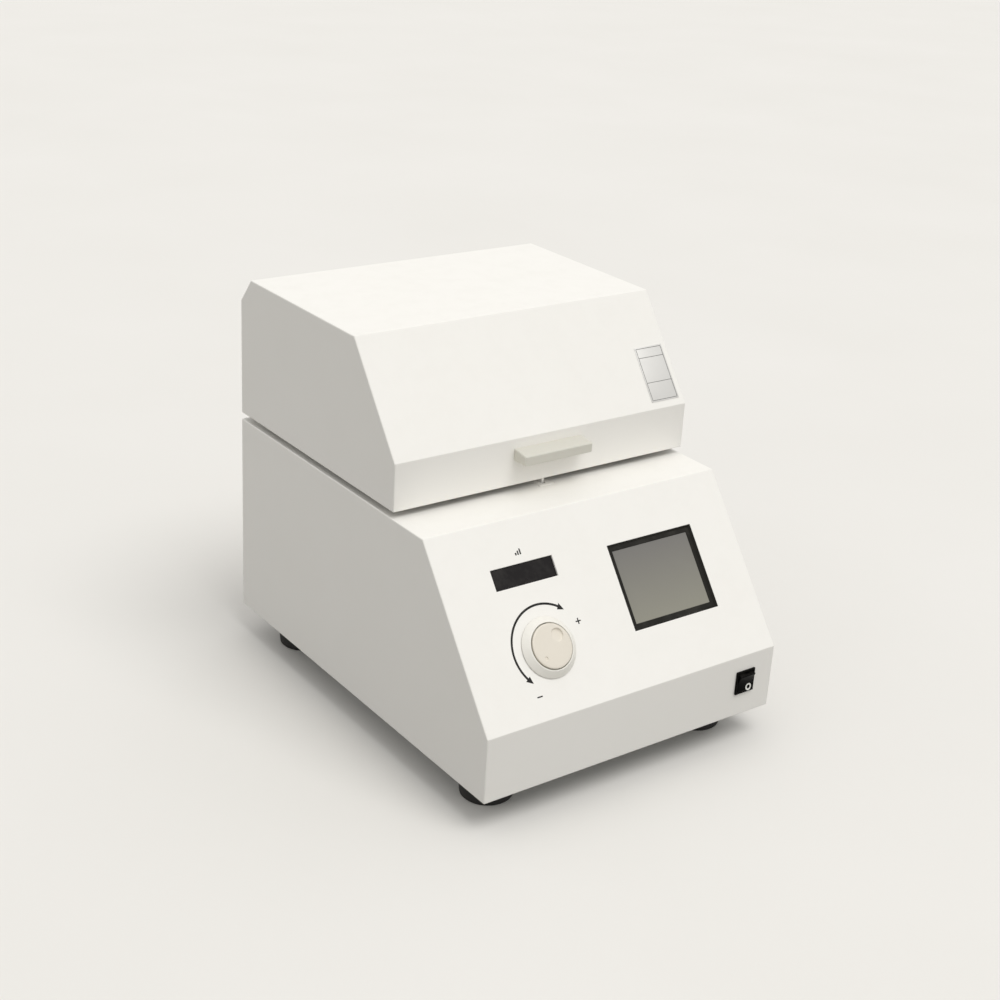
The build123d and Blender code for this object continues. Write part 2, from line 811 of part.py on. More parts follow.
with BuildPart() as clamp_knob:
    with BuildSketch(rack_plane.offset(clamp_knob_floor)):
        Circle(clamp_knob_radius)
        with PolarLocations(clamp_knob_radius, clamp_lobe_count):
            Circle(clamp_lobe_radius)
    extrude(amount=clamp_knob_height)
    knob_top = clamp_knob.faces().sort_by(Axis(rack_plane.origin, rack_plane.z_dir))[-1]
    chamfer(knob_top.edges(), length=clamp_edge)
    with BuildSketch(rack_plane.offset(clamp_knob_floor)):
        Circle(stud_radius + running_clearance)
    extrude(amount=stud_top + clamp_edge - clamp_knob_floor, mode=Mode.SUBTRACT)
save(clamp_knob.part, "clamp_knob")

# Lid shell: the same folded sheet, with a slope at the front and a small one at the back
lid_screw_level = lid_floor + handle_rise + handle_height / 2
lid_hinge_rise = hinge_level + hinge_screw_drop
with BuildPart() as lid_shell:
    extrude(outline_face(lid_outline), amount=half_width, both=True)
    fillet(lid_shell.edges(), radius=fold_radius)
    hollow = inset_outline(lid_outline, [open_end] + 5 * [sheet])
    extrude(outline_face(hollow), amount=inner_half_width, both=True, mode=Mode.SUBTRACT)
    with BuildSketch(Plane.XZ.offset(-lid_front)):
        with Locations((0, lid_screw_level)):
            with GridLocations(handle_screw_spacing, handle_screw_spacing, 2, 1):
                Circle(screw_radius)
    extrude(amount=2 * sheet, both=True, mode=Mode.SUBTRACT)
    with BuildSketch(Plane.XZ.offset(-rear)):
        with Locations(*[(x, lid_hinge_rise) for x in hinge_screw_x]):
            Circle(screw_radius)
    extrude(amount=2 * sheet, both=True, mode=Mode.SUBTRACT)
save(lid_shell.part, "lid_shell")

# Lid liner: a pan whose rim closes the lid from below, and the foam behind it
liner_insets = [
    liner_rear_inset,
    liner_top_inset,
    liner_top_inset,
    liner_slope_inset,
    liner_front_inset,
]
liner_half = half_width - liner_side_inset
liner_back = [liner_rim_recess] + [inset - liner_sheet for inset in liner_insets]
rim_inset = liner_rim_recess + liner_sheet
with BuildPart() as lid_liner:
    extrude(outline_face(inset_outline(lid_outline, liner_back)), amount=liner_half + liner_sheet, both=True)
    with BuildSketch(Plane.XY.offset(rim_level)):
        with Locations((0, (lid_front + rear) / 2)):
            Rectangle(2 * inner_half_width, rear - lid_front - 2 * sheet)
    extrude(amount=liner_sheet)
    cavity = inset_outline(lid_outline, [-sheet] + liner_insets)
    extrude(outline_face(cavity), amount=liner_half, both=True, mode=Mode.SUBTRACT)
save(lid_liner.part, "lid_liner")

foam_insets = [rim_inset] + [inset - liner_sheet - lid_foam for inset in liner_insets]
with BuildPart() as lid_insulation:
    foam_outline = inset_outline(lid_outline, foam_insets)
    extrude(outline_face(foam_outline), amount=liner_half + liner_sheet + lid_foam, both=True)
    foam_hollow = inset_outline(lid_outline, [-sheet] + liner_back[1:])
    extrude(outline_face(foam_hollow), amount=liner_half + liner_sheet, both=True, mode=Mode.SUBTRACT)
save(lid_insulation.part, "lid_insulation")

# Handle bar, with blind holes for the two screws that reach it from inside the lid
handle_plane = Plane(origin=(0, lid_front, lid_screw_level), x_dir=(1, 0, 0), z_dir=(0, -1, 0))
inside_plane = Plane(origin=(0, lid_front + sheet, lid_screw_level), x_dir=(1, 0, 0), z_dir=(0, 1, 0))
handle_spots = [(side * handle_screw_spacing / 2, 0) for side in (-1, 1)]
with BuildPart() as lid_handle:
    with BuildSketch(handle_plane):
        Rectangle(handle_length, handle_height)
    extrude(amount=handle_depth)
    outer_face = lid_handle.faces().sort_by(Axis.Y)[0]
    chamfer(outer_face.edges(), length=handle_edge)
    with BuildSketch(handle_plane):
        with Locations(*handle_spots):
            Circle(screw_radius)
    extrude(amount=handle_screw_depth, mode=Mode.SUBTRACT)
save(lid_handle.part, "lid_handle")

# Hinges: the base leaves carry the outer knuckles and pins, the lid leaves the middle ones
hinge_axis_y = rear + hinge_standoff
hinge_plane = Plane(origin=(0, hinge_axis_y, hinge_level), x_dir=(0, 1, 0), z_dir=(1, 0, 0))
middle_knuckle = hinge_width - 2 * hinge_knuckle - 2 * seat_clearance


def add_knuckle(center_x, length, up):
    """A knuckle round the hinge line, with the web that joins it to its leaf above or below."""
    with BuildSketch(hinge_plane.offset(center_x - length / 2)) as knuckle:
        Circle(hinge_barrel_radius)
        with Locations((-hinge_standoff + hinge_leaf / 2, up * hinge_leaf_inner / 2)):
            Rectangle(hinge_leaf, hinge_leaf_inner)
    extrude(knuckle.sketch, amount=length)


def add_leaf(center_x, up):
    """A flat leaf against the back, clear of the other leaf's knuckles, with its screw holes."""
    leaf_height = hinge_leaf_height - hinge_leaf_inner
    with BuildSketch(Plane.XZ.offset(-rear)) as leaf:
        with Locations((center_x, hinge_level + up * (hinge_leaf_inner + leaf_height / 2))):
            Rectangle(hinge_width, leaf_height)
        with Locations((center_x, hinge_level + up * hinge_screw_drop)):
            with GridLocations(hinge_screw_spacing, hinge_screw_spacing, 2, 1):
                Circle(screw_radius, mode=Mode.SUBTRACT)
    extrude(leaf.sketch, amount=-hinge_leaf)


with BuildPart() as base_hinge_leaves:
    for center in (-hinge_x, hinge_x):
        add_leaf(center, -1)
        for side in (-1, 1):
            add_knuckle(center + side * (hinge_width - hinge_knuckle) / 2, hinge_knuckle, -1)
    with BuildSketch(hinge_plane):
        Circle(hinge_pin_radius)
    extrude(amount=half_width, both=True, mode=Mode.SUBTRACT)
save(base_hinge_leaves.part, "base_hinge_leaves")

with BuildPart() as lid_hinge_leaves:
    for center in (-hinge_x, hinge_x):
        add_leaf(center, 1)
        add_knuckle(center, middle_knuckle, 1)
    with BuildSketch(hinge_plane):
        Circle(hinge_pin_radius + running_clearance)
    extrude(amount=half_width, both=True, mode=Mode.SUBTRACT)
save(lid_hinge_leaves.part, "lid_hinge_leaves")

with BuildPart() as hinge_pins:
    for center in (-hinge_x, hinge_x):
        with BuildSketch(hinge_plane.offset(center - hinge_width / 2)):
            Circle(hinge_pin_radius)
        extrude(amount=hinge_width)
save(hinge_pins.part, "hinge_pins")

# Screws in the lid: two from inside into the handle, and the hinge leaves' own
with BuildPart() as lid_screws:
    add_screws(inside_plane, handle_spots, sheet + handle_screw_depth)
    lid_spots = [(x, lid_hinge_rise - casing_floor) for x in hinge_screw_x]
    add_screws(back_plane.offset(hinge_leaf), lid_spots, hinge_leaf + sheet + screw_bite)
save(lid_screws.part, "lid_screws")

# Lid lock: a striker under the lid's rim, and a solenoid whose plunger runs through its window
striker_plane = Plane(origin=(0, lock_y, 0), x_dir=(0, 1, 0), z_dir=(1, 0, 0))
with BuildPart() as lid_striker:
    with BuildSketch(striker_plane):
        with Locations((0, rim_level - striker_drop / 2)):
            Rectangle(striker_width, striker_drop)
        with Locations((0, lock_level)):
            Circle(striker_window_radius, mode=Mode.SUBTRACT)
    extrude(amount=striker_thickness / 2, both=True)
    with BuildSketch(striker_plane):
        with Locations((0, rim_level - striker_thickness / 2)):
            Rectangle(striker_width, striker_thickness)
    extrude(amount=striker_foot, both=True)
save(lid_striker.part, "lid_striker")

plunger_tip = -striker_thickness / 2 - plunger_gap
solenoid_face = plunger_tip - plunger_gap
with BuildPart() as lock_solenoid:
    with BuildSketch(striker_plane.offset(solenoid_face)):
        with Locations((0, lock_level)):
            Rectangle(solenoid_width, solenoid_height)
    extrude(amount=-solenoid_length)
    with BuildSketch(striker_plane.offset(solenoid_face)):
        with Locations((0, lock_level)):
            Circle(plunger_radius + running_clearance)
    extrude(amount=-plunger_length, mode=Mode.SUBTRACT)
save(lock_solenoid.part, "lock_solenoid")

with BuildPart() as lock_plunger:
    with BuildSketch(striker_plane.offset(plunger_tip)):
        with Locations((0, lock_level)):
            Circle(plunger_radius)
    extrude(amount=-plunger_length)
save(lock_plunger.part, "lock_plunger")

# Touch panel: dark frame in the panel's cut-out, the glass behind its window, and the board
with BuildPart() as touch_frame:
    with BuildSketch(panel_plane):
        with Locations((touch_x, touch_s)):
            Rectangle(touch_width - 2 * panel_clearance, touch_height - 2 * panel_clearance)
    extrude(amount=-sheet)
    frame_back = sheet + touch_flange_thickness
    with BuildSketch(panel_plane.offset(-frame_back)):
        with Locations((touch_x, touch_s)):
            Rectangle(touch_width + 2 * touch_flange, touch_height + 2 * touch_flange)
    extrude(amount=touch_flange_thickness)
    with BuildSketch(panel_plane):
        with Locations((touch_x, touch_s)):
            Rectangle(touch_view_width, touch_view_height)
    extrude(amount=2 * frame_back, both=True, mode=Mode.SUBTRACT)
    with BuildSketch(panel_plane.offset(-touch_recess)):
        with Locations((touch_x, touch_s)):
            Rectangle(touch_view_width + 2 * touch_lip, touch_view_height + 2 * touch_lip)
    extrude(amount=-frame_back, mode=Mode.SUBTRACT)
save(touch_frame.part, "touch_frame")

glass_back = touch_recess + touch_glass_thickness
with BuildPart() as touch_glass:
    with BuildSketch(panel_plane.offset(-touch_recess)):
        with Locations((touch_x, touch_s)):
            Rectangle(
                touch_view_width + 2 * (touch_lip - panel_clearance),
                touch_view_height + 2 * (touch_lip - panel_clearance),
            )
    extrude(amount=-touch_glass_thickness)
save(touch_glass.part, "touch_glass")

with BuildPart() as touch_board:
    with BuildSketch(panel_plane.offset(-glass_back)):
        with Locations((touch_x, touch_s)):
            Rectangle(touch_width + 2 * touch_flange, touch_height + 2 * touch_flange)
    extrude(amount=-board_thickness)
    with BuildSketch(panel_plane.offset(-glass_back - board_thickness)):
        with Locations((touch_x, touch_s)):
            Rectangle(touch_connector_length, touch_connector_width)
    extrude(amount=-touch_connector_depth)
save(touch_board.part, "touch_board")

# Speed display: dark window in the panel, and the digit module behind it
with BuildPart() as display_window:
    with BuildSketch(panel_plane.offset(-display_recess)):
        with Locations((display_x, display_s)):
            Rectangle(display_width - 2 * panel_clearance, display_height - 2 * panel_clearance)
    extrude(amount=display_recess - sheet)
    with BuildSketch(panel_plane.offset(-sheet)):
        with Locations((display_x, display_s)):
            Rectangle(display_width + 2 * display_flange, display_height + 2 * display_flange)
    extrude(amount=-display_flange_thickness)
save(display_window.part, "display_window")

with BuildPart() as display_board:
    with BuildSketch(panel_plane.offset(-sheet - display_flange_thickness)):
        with Locations((display_x, display_s)):
            Rectangle(display_width, display_height)
    extrude(amount=-display_module_depth)
    with BuildSketch(panel_plane.offset(-sheet - display_flange_thickness - display_module_depth)):
        with Locations((display_x, display_s)):
            Rectangle(display_width + 2 * display_flange, display_height + 2 * display_flange)
    extrude(amount=-board_thickness)
save(display_board.part, "display_board")

# Speed knob: the encoder behind the panel with its bushing and nut, its shaft, skirt and cap
nut_top = encoder_nut_height + encoder_thread
with BuildPart() as speed_encoder:
    with BuildSketch(panel_plane.offset(-sheet)):
        with Locations((knob_x, knob_s)):
            Rectangle(encoder_body_width, encoder_body_width)
    extrude(amount=-encoder_body_depth)
    with BuildSketch(panel_plane.offset(-sheet)):
        with Locations((knob_x, knob_s)):
            Circle(encoder_bushing_radius)
    extrude(amount=sheet + nut_top)
    with BuildSketch(panel_plane.offset(nut_top)):
        with Locations((knob_x, knob_s)):
            Circle(encoder_shaft_radius + running_clearance)
    bore_depth = nut_top + encoder_shaft_depth + seat_clearance
    extrude(amount=-bore_depth, mode=Mode.SUBTRACT)
save(speed_encoder.part, "speed_encoder")

with BuildPart() as encoder_nut:
    with BuildSketch(panel_plane):
        with Locations((knob_x, knob_s)):
            RegularPolygon(encoder_nut_radius, 6)
            Circle(encoder_bushing_radius, mode=Mode.SUBTRACT)
    extrude(amount=encoder_nut_height)
save(encoder_nut.part, "encoder_nut")

knob_centre = panel_plane.from_local_coords((knob_x, knob_s, 0))
knob_plane = Plane(origin=knob_centre, x_dir=(1, 0, 0), z_dir=panel_plane.z_dir)
recess_level = knob_lift + knob_height - cap_depth
with BuildPart(knob_plane) as encoder_shaft:
    with Locations((0, 0, -encoder_shaft_depth)):
        Cylinder(encoder_shaft_radius, recess_level + encoder_shaft_depth, align=above)
save(encoder_shaft.part, "encoder_shaft")

with BuildPart(knob_plane) as knob_skirt:
    with Locations((0, 0, knob_lift)):
        Cone(knob_base_radius, knob_rim_radius, knob_height, align=above)
        Cylinder(encoder_nut_radius + cap_groove, nut_top, align=above, mode=Mode.SUBTRACT)
        Cylinder(encoder_shaft_radius, knob_height, align=above, mode=Mode.SUBTRACT)
    with Locations((0, 0, recess_level)):
        Cylinder(cap_radius + cap_groove, cap_depth, align=above, mode=Mode.SUBTRACT)
save(knob_skirt.part, "knob_skirt")

with BuildPart(knob_plane) as knob_cap:
    with Locations((0, 0, recess_level)):
        Cylinder(cap_radius, cap_depth, align=above)
    fillet(knob_cap.edges().sort_by(Axis(knob_plane.origin, knob_plane.z_dir))[-1], radius=cap_edge)
    dimple_sphere = (cap_dimple_radius**2 + cap_dimple_depth**2) / (2 * cap_dimple_depth)
    dimple_x = cap_dimple_offset * cos(radians(cap_dimple_angle))
    dimple_y = cap_dimple_offset * sin(radians(cap_dimple_angle))
    with Locations((dimple_x, dimple_y, recess_level + cap_depth + dimple_sphere - cap_dimple_depth)):
        Sphere(dimple_sphere, mode=Mode.SUBTRACT)
save(knob_cap.part, "knob_cap")

# Power switch: the housing with its bezel, and the rocker on two small pins
switch_pivot = switch_plane.offset(-rocker_pivot_depth)
with BuildPart() as switch_housing:
    with BuildSketch(switch_plane):
        Rectangle(switch_bezel_width, switch_bezel_height)
    extrude(amount=switch_bezel)
    with BuildSketch(switch_plane):
        Rectangle(switch_body_width, switch_body_height)
    extrude(amount=-switch_body_depth)
    with BuildSketch(switch_plane.offset(-switch_window_depth)):
        Rectangle(switch_window_width, switch_window_height)
    extrude(amount=switch_window_depth + switch_bezel, mode=Mode.SUBTRACT)
    pin_line = Plane(origin=switch_pivot.origin, x_dir=(0, -1, 0), z_dir=(1, 0, 0))
    with BuildSketch(pin_line):
        Circle(rocker_pin_radius + running_clearance)
    extrude(amount=switch_body_width / 2, both=True, mode=Mode.SUBTRACT)
save(switch_housing.part, "switch_housing")

rocker_plane = Plane(
    origin=switch_pivot.origin, x_dir=(0, -cos(swing), -sin(swing)), z_dir=(-1, 0, 0)
)
rocker_half = rocker_height / 2
rocker_profile = [
    (rocker_tip, rocker_half),
    (-rocker_back, rocker_half),
    (-rocker_back, -rocker_half),
    (rocker_tip, -rocker_half),
    (rocker_crest, 0),
]
with BuildPart() as power_rocker:
    rocker_half_width = switch_window_width / 2 - seat_clearance
    extrude(outline_face(rocker_profile, rocker_plane), amount=rocker_half_width, both=True)
    with BuildSketch(rocker_plane):
        Circle(rocker_pin_radius)
    extrude(amount=switch_body_width / 2 - panel_clearance, both=True)
save(power_rocker.part, "power_rocker")

# Power supply and control board on the bottom plate
with BuildPart() as power_supply:
    supply_y = front + supply_setback + supply_width / 2
    with BuildSketch(Plane.XY.offset(plate_top)):
        with Locations((supply_x, supply_y)):
            Rectangle(supply_length, supply_width)
    extrude(amount=supply_height)
    chamfer(power_supply.edges().group_by(Axis.Z)[-1], length=fold_radius)
    with BuildSketch(Plane.XY.offset(plate_top)):
        with Locations((terminal_x, supply_y)):
            Rectangle(terminal_width, supply_width - 2 * terminal_end)
    extrude(amount=terminal_height)
save(power_supply.part, "power_supply")

with BuildPart() as control_board:
    board_level = plate_top + standoff_height
    with BuildSketch(Plane.XY.offset(board_level)):
        with Locations((board_x, board_y)):
            Rectangle(board_length, board_width)
    extrude(amount=board_thickness)
    with BuildSketch(Plane.XY.offset(board_level + board_thickness)):
        with Locations((board_x, board_y)):
            with GridLocations(component_pitch, component_row_pitch, 3, 2):
                Rectangle(component_length, component_width)
    extrude(amount=component_height)
save(control_board.part, "control_board")

# Fan: frame with its spider, the bladed rotor, and the wire guard outside the back panel
with BuildPart() as fan_frame:
    with BuildSketch(fan_plane):
        RectangleRounded(fan_size, fan_size, screw_head_radius)
        Circle(fan_bore_radius, mode=Mode.SUBTRACT)
        with GridLocations(fan_screw_spacing, fan_screw_spacing, 2, 2):
            Circle(screw_radius, mode=Mode.SUBTRACT)
    extrude(amount=fan_depth)
    with BuildSketch(fan_plane):
        Circle(fan_hub_radius)
        with PolarLocations((fan_hub_radius + fan_bore_radius) / 2, fan_strut_count):
            Rectangle(fan_bore_radius - fan_hub_radius + fan_strut_width, fan_strut_width)
    extrude(amount=fan_spider)
    with BuildSketch(fan_plane):
        Circle(fan_axle_radius + running_clearance)
    extrude(amount=fan_spider, mode=Mode.SUBTRACT)
save(fan_frame.part, "fan_frame")

blade_length = fan_bore_radius - blade_tip_clearance - fan_hub_radius
with BuildPart(fan_plane) as fan_rotor:
    rotor_base = fan_spider + seat_clearance
    with Locations((0, 0, rotor_base)):
        Cylinder(fan_hub_radius, fan_depth - rotor_base - fan_spider, align=above)
    with Locations((0, 0, seat_clearance)):
        Cylinder(fan_axle_radius, rotor_base, align=above)
    with Locations((0, 0, (rotor_base + fan_depth - fan_spider) / 2)):
        with PolarLocations(fan_hub_radius + blade_length / 2 - blade_thickness / 2, blade_count):
            Box(blade_length, blade_thickness, blade_chord, rotation=(blade_pitch, 0, 0))
save(fan_rotor.part, "fan_rotor")

with BuildPart() as fan_guard:
    with BuildSketch(guard_plane):
        for ring in range(guard_ring_count):
            ring_radius = fan_bore_radius - ring * guard_ring_pitch
            Circle(ring_radius + guard_wire / 2)
            Circle(ring_radius - guard_wire / 2, mode=Mode.SUBTRACT)
        for turn in (45, 135):
            Rectangle(fan_screw_spacing * 2**0.5, guard_wire, rotation=turn)
        with GridLocations(fan_screw_spacing, fan_screw_spacing, 2, 2):
            Circle(screw_head_radius)
            Circle(screw_radius, mode=Mode.SUBTRACT)
    extrude(amount=guard_wire)
save(fan_guard.part, "fan_guard")

# Mains inlet: flange, body, socket with three contacts, and the fuse drawer below
with BuildPart() as mains_inlet:
    with BuildSketch(inlet_plane):
        RectangleRounded(inlet_flange_width, inlet_flange_height, screw_head_radius)
    extrude(amount=inlet_flange)
    with BuildSketch(inlet_plane):
        Rectangle(inlet_body_width, inlet_body_height)
    extrude(amount=-inlet_body_depth)
    with BuildSketch(inlet_plane.offset(inlet_flange)):
        with Locations((0, socket_offset)):
            Rectangle(socket_width, socket_height)
    extrude(amount=-socket_depth, mode=Mode.SUBTRACT)
    with BuildSketch(inlet_plane.offset(inlet_flange)):
        with Locations((0, fuse_offset)):
            Rectangle(fuse_width, fuse_height)
    extrude(amount=-fuse_depth, mode=Mode.SUBTRACT)
    with BuildSketch(inlet_plane.offset(inlet_flange)):
        with Locations(*[(side * inlet_screw_spacing / 2, 0) for side in (-1, 1)]):
            Circle(screw_radius)
    extrude(amount=-inlet_flange, mode=Mode.SUBTRACT)
    with BuildSketch(inlet_plane.offset(inlet_flange - socket_depth)):
        for step in (-1, 0, 1):
            stagger = contact_stagger * (1 - 2 * abs(step))
            with Locations((step * contact_spacing, socket_offset + stagger)):
                Rectangle(contact_thickness, contact_height)
    extrude(amount=contact_length)
save(mains_inlet.part, "mains_inlet")

with BuildPart() as fuse_drawer:
    with BuildSketch(inlet_plane.offset(inlet_flange + seat_clearance)):
        with Locations((0, fuse_offset)):
            Rectangle(fuse_width - 2 * seat_clearance, fuse_height - 2 * seat_clearance)
    extrude(amount=-fuse_depth)
    with BuildSketch(inlet_plane.offset(inlet_flange + seat_clearance)):
        with Locations((0, fuse_offset)):
            Rectangle(fuse_width + 2 * fuse_lip_overlap, fuse_height + fuse_lip_overlap)
    extrude(amount=fuse_lip)
save(fuse_drawer.part, "fuse_drawer")
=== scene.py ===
# %% [markdown]
# # A bench-top cryogenic mill
#
# The instrument is a white sheet-steel base with a sloping control panel, and a deep lid over a cold chamber.
# A construction model already gives every part its size and place. This script loads that model as a fixed
# frame, gives each part its finish, and remodels the parts whose shape shows up close. Everything is in metres,
# with the floor at z = 0 and the front of the instrument towards -Y.

import json
import math

import bmesh
import bpy
from mathutils import Matrix, Vector


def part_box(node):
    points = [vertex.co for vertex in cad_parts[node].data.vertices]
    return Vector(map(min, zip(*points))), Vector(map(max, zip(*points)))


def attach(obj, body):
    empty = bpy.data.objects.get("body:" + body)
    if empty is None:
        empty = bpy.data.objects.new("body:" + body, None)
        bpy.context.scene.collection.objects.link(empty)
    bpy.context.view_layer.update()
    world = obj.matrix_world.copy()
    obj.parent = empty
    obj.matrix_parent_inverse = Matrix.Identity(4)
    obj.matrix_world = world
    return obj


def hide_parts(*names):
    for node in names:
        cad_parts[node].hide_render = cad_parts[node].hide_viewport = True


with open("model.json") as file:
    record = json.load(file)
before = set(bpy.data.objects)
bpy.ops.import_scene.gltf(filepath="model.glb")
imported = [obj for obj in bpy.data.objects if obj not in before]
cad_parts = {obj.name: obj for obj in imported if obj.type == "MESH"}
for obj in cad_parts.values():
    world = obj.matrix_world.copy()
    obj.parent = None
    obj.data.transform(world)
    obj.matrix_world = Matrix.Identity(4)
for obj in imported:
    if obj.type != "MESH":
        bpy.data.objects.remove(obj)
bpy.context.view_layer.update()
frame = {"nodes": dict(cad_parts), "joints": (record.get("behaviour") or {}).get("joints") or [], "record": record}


def short(values):
    """Numbers rounded for printing."""
    return [round(value, 4) for value in values]


# %% [markdown]
# ## The camera
#
# The camera was fitted to the corners of the casing in a photograph, so the render lines up with it. A lens of
# about 60 mm, 1.3 m away, gives a gentle perspective, and the last turn is the small roll of a camera held by
# hand. Moving a camera by eye takes longer, and never settles both lens and distance.

# %% Place the camera
def in_scene(name, data):
    """A new object in the scene, with its data."""
    item = bpy.data.objects.new(name, data)
    bpy.context.collection.objects.link(item)
    return item


def turn(degrees, axis="Z"):
    """The matrix of a turn round an axis."""
    return Matrix.Rotation(math.radians(degrees), 4, axis)


camera = in_scene("photo_camera", bpy.data.cameras.new("photo_camera"))
camera.data.lens, camera.data.sensor_width = 60.4935, 36.0
eye, heading, tilt, roll = (-0.700547, -0.926228, 0.653125), -37.0570, 23.3475, 3.4021
camera.matrix_world = Matrix.Translation(eye) @ turn(heading) @ turn(90 - tilt, "X") @ turn(roll)
bpy.context.scene.camera = camera
bpy.context.scene.view_settings.view_transform = "Standard"
print("camera", short(camera.location))

# %% [markdown]
# ## Building nodes from code
#
# Every material is a small graph of nodes. One helper adds a node, sets its options and fills its inputs, and
# short ones do so for the nodes that come up most, so that a graph reads as a list. The last turns the colours
# that a paint program shows into the linear values that a shader works with.

# %% Node and colour helpers
def fill(tree, node, inputs):
    """Fills the inputs of a node with values, or with links from other nodes."""
    for name, value in inputs.items():
        if isinstance(value, bpy.types.NodeSocket):
            tree.links.new(value, node.inputs[name])
        else:
            node.inputs[name].default_value = value


def add(tree, kind, inputs=None, **settings):
    """Adds a node with its options and inputs, and returns its outputs."""
    node = tree.nodes.new("ShaderNode" + kind)
    for name, value in settings.items():
        setattr(node, name, value)
    fill(tree, node, inputs or {})
    return node.outputs


def noise(tree, place, scale, detail, **more):
    """Soft random clouds; a larger scale makes them smaller."""
    return add(tree, "TexNoise", {"Vector": place, "Scale": scale, "Detail": detail, **more})[0]


def maths(tree, operation, *values, **settings):
    """One calculation with up to three values."""
    return add(tree, "Math", dict(enumerate(values)), operation=operation, **settings)[0]


def between(tree, value, low, high, start=0.0, end=1.0):
    """Runs from low to high as a value runs from start to end."""
    ends = {"From Min": start, "From Max": end, "To Min": low, "To Max": high}
    return add(tree, "MapRange", {"Value": value, **ends})["Result"]


def blend(tree, mask, first, second):
    """A colour that runs from the first to the second as a mask runs from 0 to 1."""
    return add(tree, "Mix", {0: mask, 6: first, 7: second}, data_type="RGBA")[2]


def colour(red, green, blue):
    """A colour of 0 to 255 as a picture stores it, as linear values with full alpha."""
    linear = []
    for value in (red / 255, green / 255, blue / 255):
        linear.append(value / 12.92 if value <= 0.04045 else ((value + 0.055) / 1.055) ** 2.4)
    return (*linear, 1.0)


print("mid grey in linear values", short(colour(128, 128, 128)))

# %% [markdown]
# ## Light
#
# A large pale ceiling lights the room evenly. A plain world gives light from all sides, and one large soft sun
# from the front and above makes the front lighter than the left side. Together they render a white sheet that
# faces up at about its own colour. The light of area lamps fades with distance, and would leave the back dark.
#
# The camera, mirrors and glass see a pale backdrop instead of the light itself. Light Path tells the rays
# apart, and it stays in the world's own tree.

# %% World and sun
def looked_at(tree):
    """1 for a ray from the camera, off a mirror or through glass, and 0 for a ray that only brings light."""
    rays = add(tree, "LightPath")
    seen = maths(tree, "MAXIMUM", rays["Is Camera Ray"], rays["Is Glossy Ray"])
    return maths(tree, "MAXIMUM", seen, rays["Is Transmission Ray"])


lamp_colour, backdrop = (1.0, 0.995, 0.985), colour(236, 234, 230)
world = bpy.data.worlds.new("soft_room")
bpy.context.scene.world = world
world.use_nodes = True
room = world.node_tree
room.nodes.clear()
height = add(room, "SeparateXYZ", {0: add(room, "TexCoord")["Generated"]})["Z"]
ceiling = between(room, height, 0.69, 0.79, start=-0.2)
light = add(room, "Background", {"Color": (*lamp_colour, 1.0), "Strength": ceiling})
seen = add(room, "Background", {"Color": backdrop, "Strength": 1.0})
mixed = add(room, "MixShader", {0: looked_at(room), 1: light[0], 2: seen[0]})
add(room, "OutputWorld", {"Surface": mixed[0]})

sun = in_scene("ceiling_light", bpy.data.lights.new("ceiling_light", "SUN"))
sun.data.energy = 1.13
sun.data.angle = math.radians(35)
sun.data.color = lamp_colour
sun.matrix_world = Vector((0.10, -0.44, 0.89)).to_track_quat("Z", "Y").to_matrix().to_4x4()
print("sun energy", sun.data.energy)

# %% [markdown]
# ## The floor
#
# The instrument stands on a plain pale floor that keeps its shadow. So wide a floor would throw much light back
# up, so the colour that is looked at is pale, and the colour that lights the object from below is a mid grey.
# Both are one material, and the kind of ray chooses between them.

# %% Make the floor
finishes = {}


def new_finish(name):
    """A new material: its tree and the object's own coordinates."""
    material = bpy.data.materials.new(name)
    material.use_nodes = True
    tree = material.node_tree
    finishes[name] = material
    return tree, add(tree, "TexCoord")["Object"]


def freeze(shape, name):
    """Turns a bmesh into a mesh, and frees it."""
    mesh = bpy.data.meshes.new(name)
    shape.to_mesh(mesh)
    shape.free()
    return mesh


tree, place = new_finish("pale_floor")
pale = blend(tree, noise(tree, place, 3.0, 3.0), colour(229, 227, 222), colour(234, 232, 228))
tint = blend(tree, looked_at(tree), colour(128, 126, 122), pale)
fill(tree, tree.nodes["Principled BSDF"], {"Base Color": tint, "Roughness": 0.75, "Specular IOR Level": 0.15})
shape = bmesh.new()
bmesh.ops.create_grid(shape, x_segments=1, y_segments=1, size=20.0)
floor = in_scene("floor", freeze(shape, "floor"))
floor.data.materials.append(finishes["pale_floor"])
print("floor is", floor.dimensions.x, "m wide")

# %% [markdown]
# ## Shared effects
#
# An effect that several finishes use is a node group: built once, with named inputs and outputs, and placed in
# each material with its own values. Every group takes the object's own coordinates, in metres, so a grain has
# the same size on every piece, and it stays put when the piece moves.

# %% Helpers for node groups
def new_group(name, outputs, **sizes):
    """Starts a node group on coordinates and sizes, and returns its tree, its inputs and its last node."""
    group = bpy.data.node_groups.new(name, "ShaderNodeTree")
    for title in ["Vector", *sizes, *outputs]:
        way = "OUTPUT" if title in outputs else "INPUT"
        kind = "NodeSocketVector" if title in ("Vector", "Normal") else "NodeSocketFloat"
        socket = group.interface.new_socket(title, in_out=way, socket_type=kind)
        if title in sizes:
            socket.default_value = sizes[title]
    return group, group.nodes.new("NodeGroupInput").outputs, group.nodes.new("NodeGroupOutput")


def put(tree, group, **inputs):
    """Places a group in a material, and returns its outputs."""
    return add(tree, "Group", inputs, node_tree=group)


# %% [markdown]
# ### Powder coat
#
# Powder paint is sprayed on dry and baked. It flows out into a skin with a shallow ripple about a millimetre
# wide, which painters call orange peel, over a finer grain. Two noises added together make that height. A far
# larger noise gives the slow drift in tone of a big flat sheet, and a fourth varies the gloss. An image texture
# would need unwrapping and a repeat that doesn't show, and noise needs neither.

